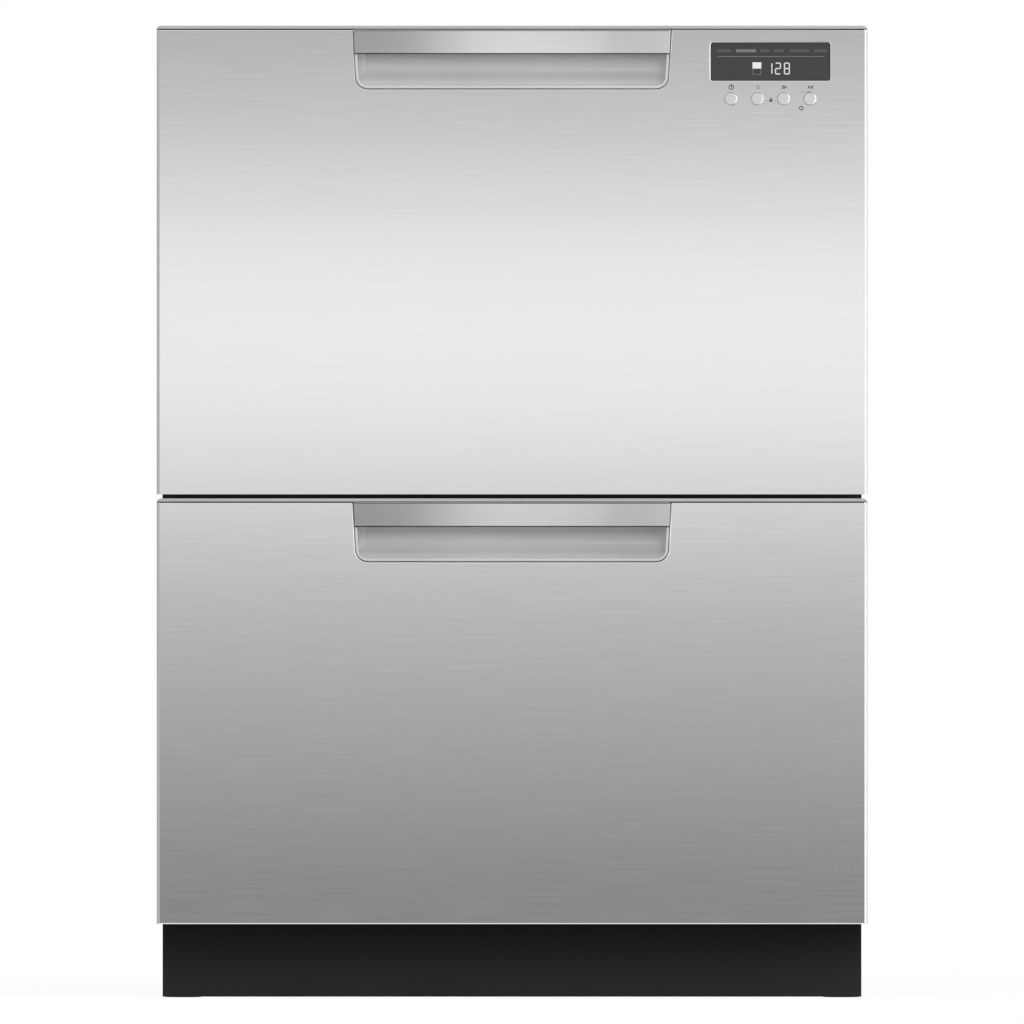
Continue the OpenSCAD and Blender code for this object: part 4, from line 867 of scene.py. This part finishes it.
# %% World and floor
def ray_is_seen(tree):
    """1 for rays from the camera, off a glossy surface or through glass, 0 for all the others."""
    path = tree.nodes.new("ShaderNodeLightPath")
    seen = path.outputs["Is Camera Ray"]
    for kind in ("Is Glossy Ray", "Is Transmission Ray"):
        either = tree.nodes.new("ShaderNodeMath")
        either.operation = "MAXIMUM"
        tree.links.new(seen, either.inputs[0])
        tree.links.new(path.outputs[kind], either.inputs[1])
        seen = either.outputs[0]
    return seen


world = bpy.data.worlds.new("white_studio")
bpy.context.scene.world = world
world.use_nodes = True
world_tree = world.node_tree
fill_grey = 0.62
fill = world_tree.nodes["Background"]
fill.inputs["Color"].default_value = (fill_grey, fill_grey, fill_grey, 1.0)
white = world_tree.nodes.new("ShaderNodeBackground")
white.inputs["Color"].default_value = (1.0, 1.0, 1.0, 1.0)
world_mix = world_tree.nodes.new("ShaderNodeMixShader")
world_tree.links.new(ray_is_seen(world_tree), world_mix.inputs["Fac"])
world_tree.links.new(fill.outputs[0], world_mix.inputs[1])
world_tree.links.new(white.outputs[0], world_mix.inputs[2])
world_tree.links.new(world_mix.outputs[0], world_tree.nodes["World Output"].inputs["Surface"])

floor_radius = 1.6
floor_glow = 0.92
floor_mesh = bpy.data.meshes.new("floor")
shape = bmesh.new()
bmesh.ops.create_circle(shape, cap_ends=True, segments=96, radius=floor_radius)
shape.to_mesh(floor_mesh)
shape.free()
floor = bpy.data.objects.new("floor", floor_mesh)
bpy.context.scene.collection.objects.link(floor)
floor_material, floor_tree, floor_shader = new_material("pale_floor", (0.90, 0.90, 0.90), 0.9)
glow = floor_tree.nodes.new("ShaderNodeEmission")
glow.inputs["Color"].default_value = (1.0, 1.0, 1.0, 1.0)
floor_mix = floor_tree.nodes.new("ShaderNodeMixShader")
glow_share = floor_tree.nodes.new("ShaderNodeMath")
glow_share.operation = "MULTIPLY"
glow_share.inputs[1].default_value = floor_glow
floor_tree.links.new(ray_is_seen(floor_tree), glow_share.inputs[0])
floor_tree.links.new(glow_share.outputs[0], floor_mix.inputs["Fac"])
floor_tree.links.new(floor_shader.outputs[0], floor_mix.inputs[1])
floor_tree.links.new(glow.outputs[0], floor_mix.inputs[2])
floor_tree.links.new(floor_mix.outputs[0], floor_tree.nodes["Material Output"].inputs["Surface"])
floor_mesh.materials.append(floor_material)
print("floor", floor_radius, "m")

# %% Lamps
# The soft boxes are turned to the middle of the dishwasher
middle = (0.0, 0.0, 0.42)
# Where each soft box stands, its width and height, and its power in watts
soft_boxes = {"top_box": ((0.3, -1.3, 2.6), 1.8, 1.4, 36.0),
              "front_box": ((0.2, -2.8, 1.4), 1.8, 1.2, 36.0),
              "right_box": ((2.2, -0.9, 0.9), 0.8, 1.6, 16.0),
              "left_box": ((-2.4, -1.2, 1.0), 0.8, 1.6, 8.0)}


def soft_box(name, place, width, height, watts):
    """A rectangular lamp at a place, turned to the middle. Reflections don't show it."""
    lamp = bpy.data.lights.new(name, "AREA")
    lamp.shape = "RECTANGLE"
    lamp.size = width
    lamp.size_y = height
    lamp.energy = watts
    holder = bpy.data.objects.new(name, lamp)
    holder.location = place
    holder.rotation_euler = (Vector(middle) - Vector(place)).to_track_quat("-Z", "Y").to_euler()
    holder.visible_glossy = False
    bpy.context.scene.collection.objects.link(holder)


for name, values in soft_boxes.items():
    soft_box(name, *values)
print(len(soft_boxes), "soft boxes")

# %% [markdown]
# ## What the steel reflects
# A photographer lights flat steel with what stands in front of it. A board half a metre away is
# brightest at the height of the light band on the upper drawer and falls off above and below it.
# Curved cards stand round both sides, two grey ones on the left, and on the right a white one, a
# narrow bright strip and a dark one: the rounded edges of the fronts turn away from the board and
# show them, as do the edges of each opening. Only reflections see the board and the cards, and the
# camera looks through them.

# %% Board and cards
board_gap = 0.5
board_half_width = 0.50
board_low = -0.3
board_high = 1.3
strongest = 2.0
# How strong the board is at a height: (metres over the floor, strength)
grade_steps = [(-0.30, 0.10), (0.05, 0.25), (0.12, 0.43), (0.20, 0.56), (0.36, 0.84), (0.46, 1.24),
               (0.57, 1.46), (0.68, 1.16), (0.80, 0.77), (0.95, 0.62), (1.30, 0.56)]
# Cards round a side: where each starts and ends, in degrees from straight ahead, and its strength
left_cards = {"left_card": (22, 110, 0.73), "left_back_card": (110, 172, 0.50)}
right_cards = {"right_card": (22, 66, 1.30), "right_lamp": (66, 94, 4.2),
               "right_back_card": (94, 172, 0.30)}


def light_material(name):
    """An emission material and the handles to give it a strength."""
    material = bpy.data.materials.new(name)
    material.use_nodes = True
    tree = material.node_tree
    tree.nodes.clear()
    out = tree.nodes.new("ShaderNodeOutputMaterial")
    light = tree.nodes.new("ShaderNodeEmission")
    tree.links.new(light.outputs[0], out.inputs["Surface"])
    return material, tree, light


def graded(material, tree, light):
    """Makes the strength of a light follow its height."""
    share = mapped(tree, object_axis(tree, "Z"), board_low, board_high)
    steps = [((z - board_low) / (board_high - board_low), power / strongest) for z, power in grade_steps]
    gain = tree.nodes.new("ShaderNodeMath")
    gain.operation = "MULTIPLY"
    gain.inputs[1].default_value = strongest
    tree.links.new(curve_through(tree, share, steps), gain.inputs[0])
    tree.links.new(gain.outputs[0], light.inputs["Strength"])
    return material


def reflected_only(name, shape, material):
    """A stage piece that only reflections see."""
    mesh = bpy.data.meshes.new(name)
    shape.to_mesh(mesh)
    shape.free()
    mesh.materials.append(material)
    piece = bpy.data.objects.new(name, mesh)
    bpy.context.scene.collection.objects.link(piece)
    for kind in ("camera", "diffuse", "transmission", "volume_scatter", "shadow"):
        setattr(piece, "visible_" + kind, False)


board_y = front_y - board_gap
shape = bmesh.new()
bmesh.ops.create_grid(shape, x_segments=1, y_segments=1, size=0.5)
bmesh.ops.scale(shape, vec=(2 * board_half_width, board_high - board_low, 1.0), verts=shape.verts)
bmesh.ops.rotate(shape, matrix=Matrix.Rotation(math.radians(90), 3, "X"), verts=shape.verts)
bmesh.ops.translate(shape, vec=(0.0, board_y, (board_low + board_high) / 2), verts=shape.verts)
reflected_only("graded_board", shape, graded(*light_material("graded_light")))

card_radius = math.hypot(board_gap, board_half_width - cad_high.x)
for side, cards in ((-1, left_cards), (1, right_cards)):
    for name, (start, end, strength) in cards.items():
        shape = bmesh.new()
        place = (side * (cad_high.x + card_radius * math.sin(math.radians(start))),
                 front_y - card_radius * math.cos(math.radians(start)))
        upright = [shape.verts.new((*place, z)) for z in (board_low, board_high)]
        pole = shape.edges.new(upright)
        bmesh.ops.spin(shape, geom=upright + [pole], cent=(side * cad_high.x, front_y, 0.0),
                       axis=(0.0, 0.0, 1.0), angle=side * math.radians(end - start), steps=16)
        material, tree, light = light_material(name + "_light")
        light.inputs["Strength"].default_value = strength
        reflected_only(name, shape, material)
print("board at", round(board_y, 3), "cards at", round(card_radius, 3))

# %% Colour management
scene = bpy.context.scene
scene.view_settings.view_transform = "Standard"
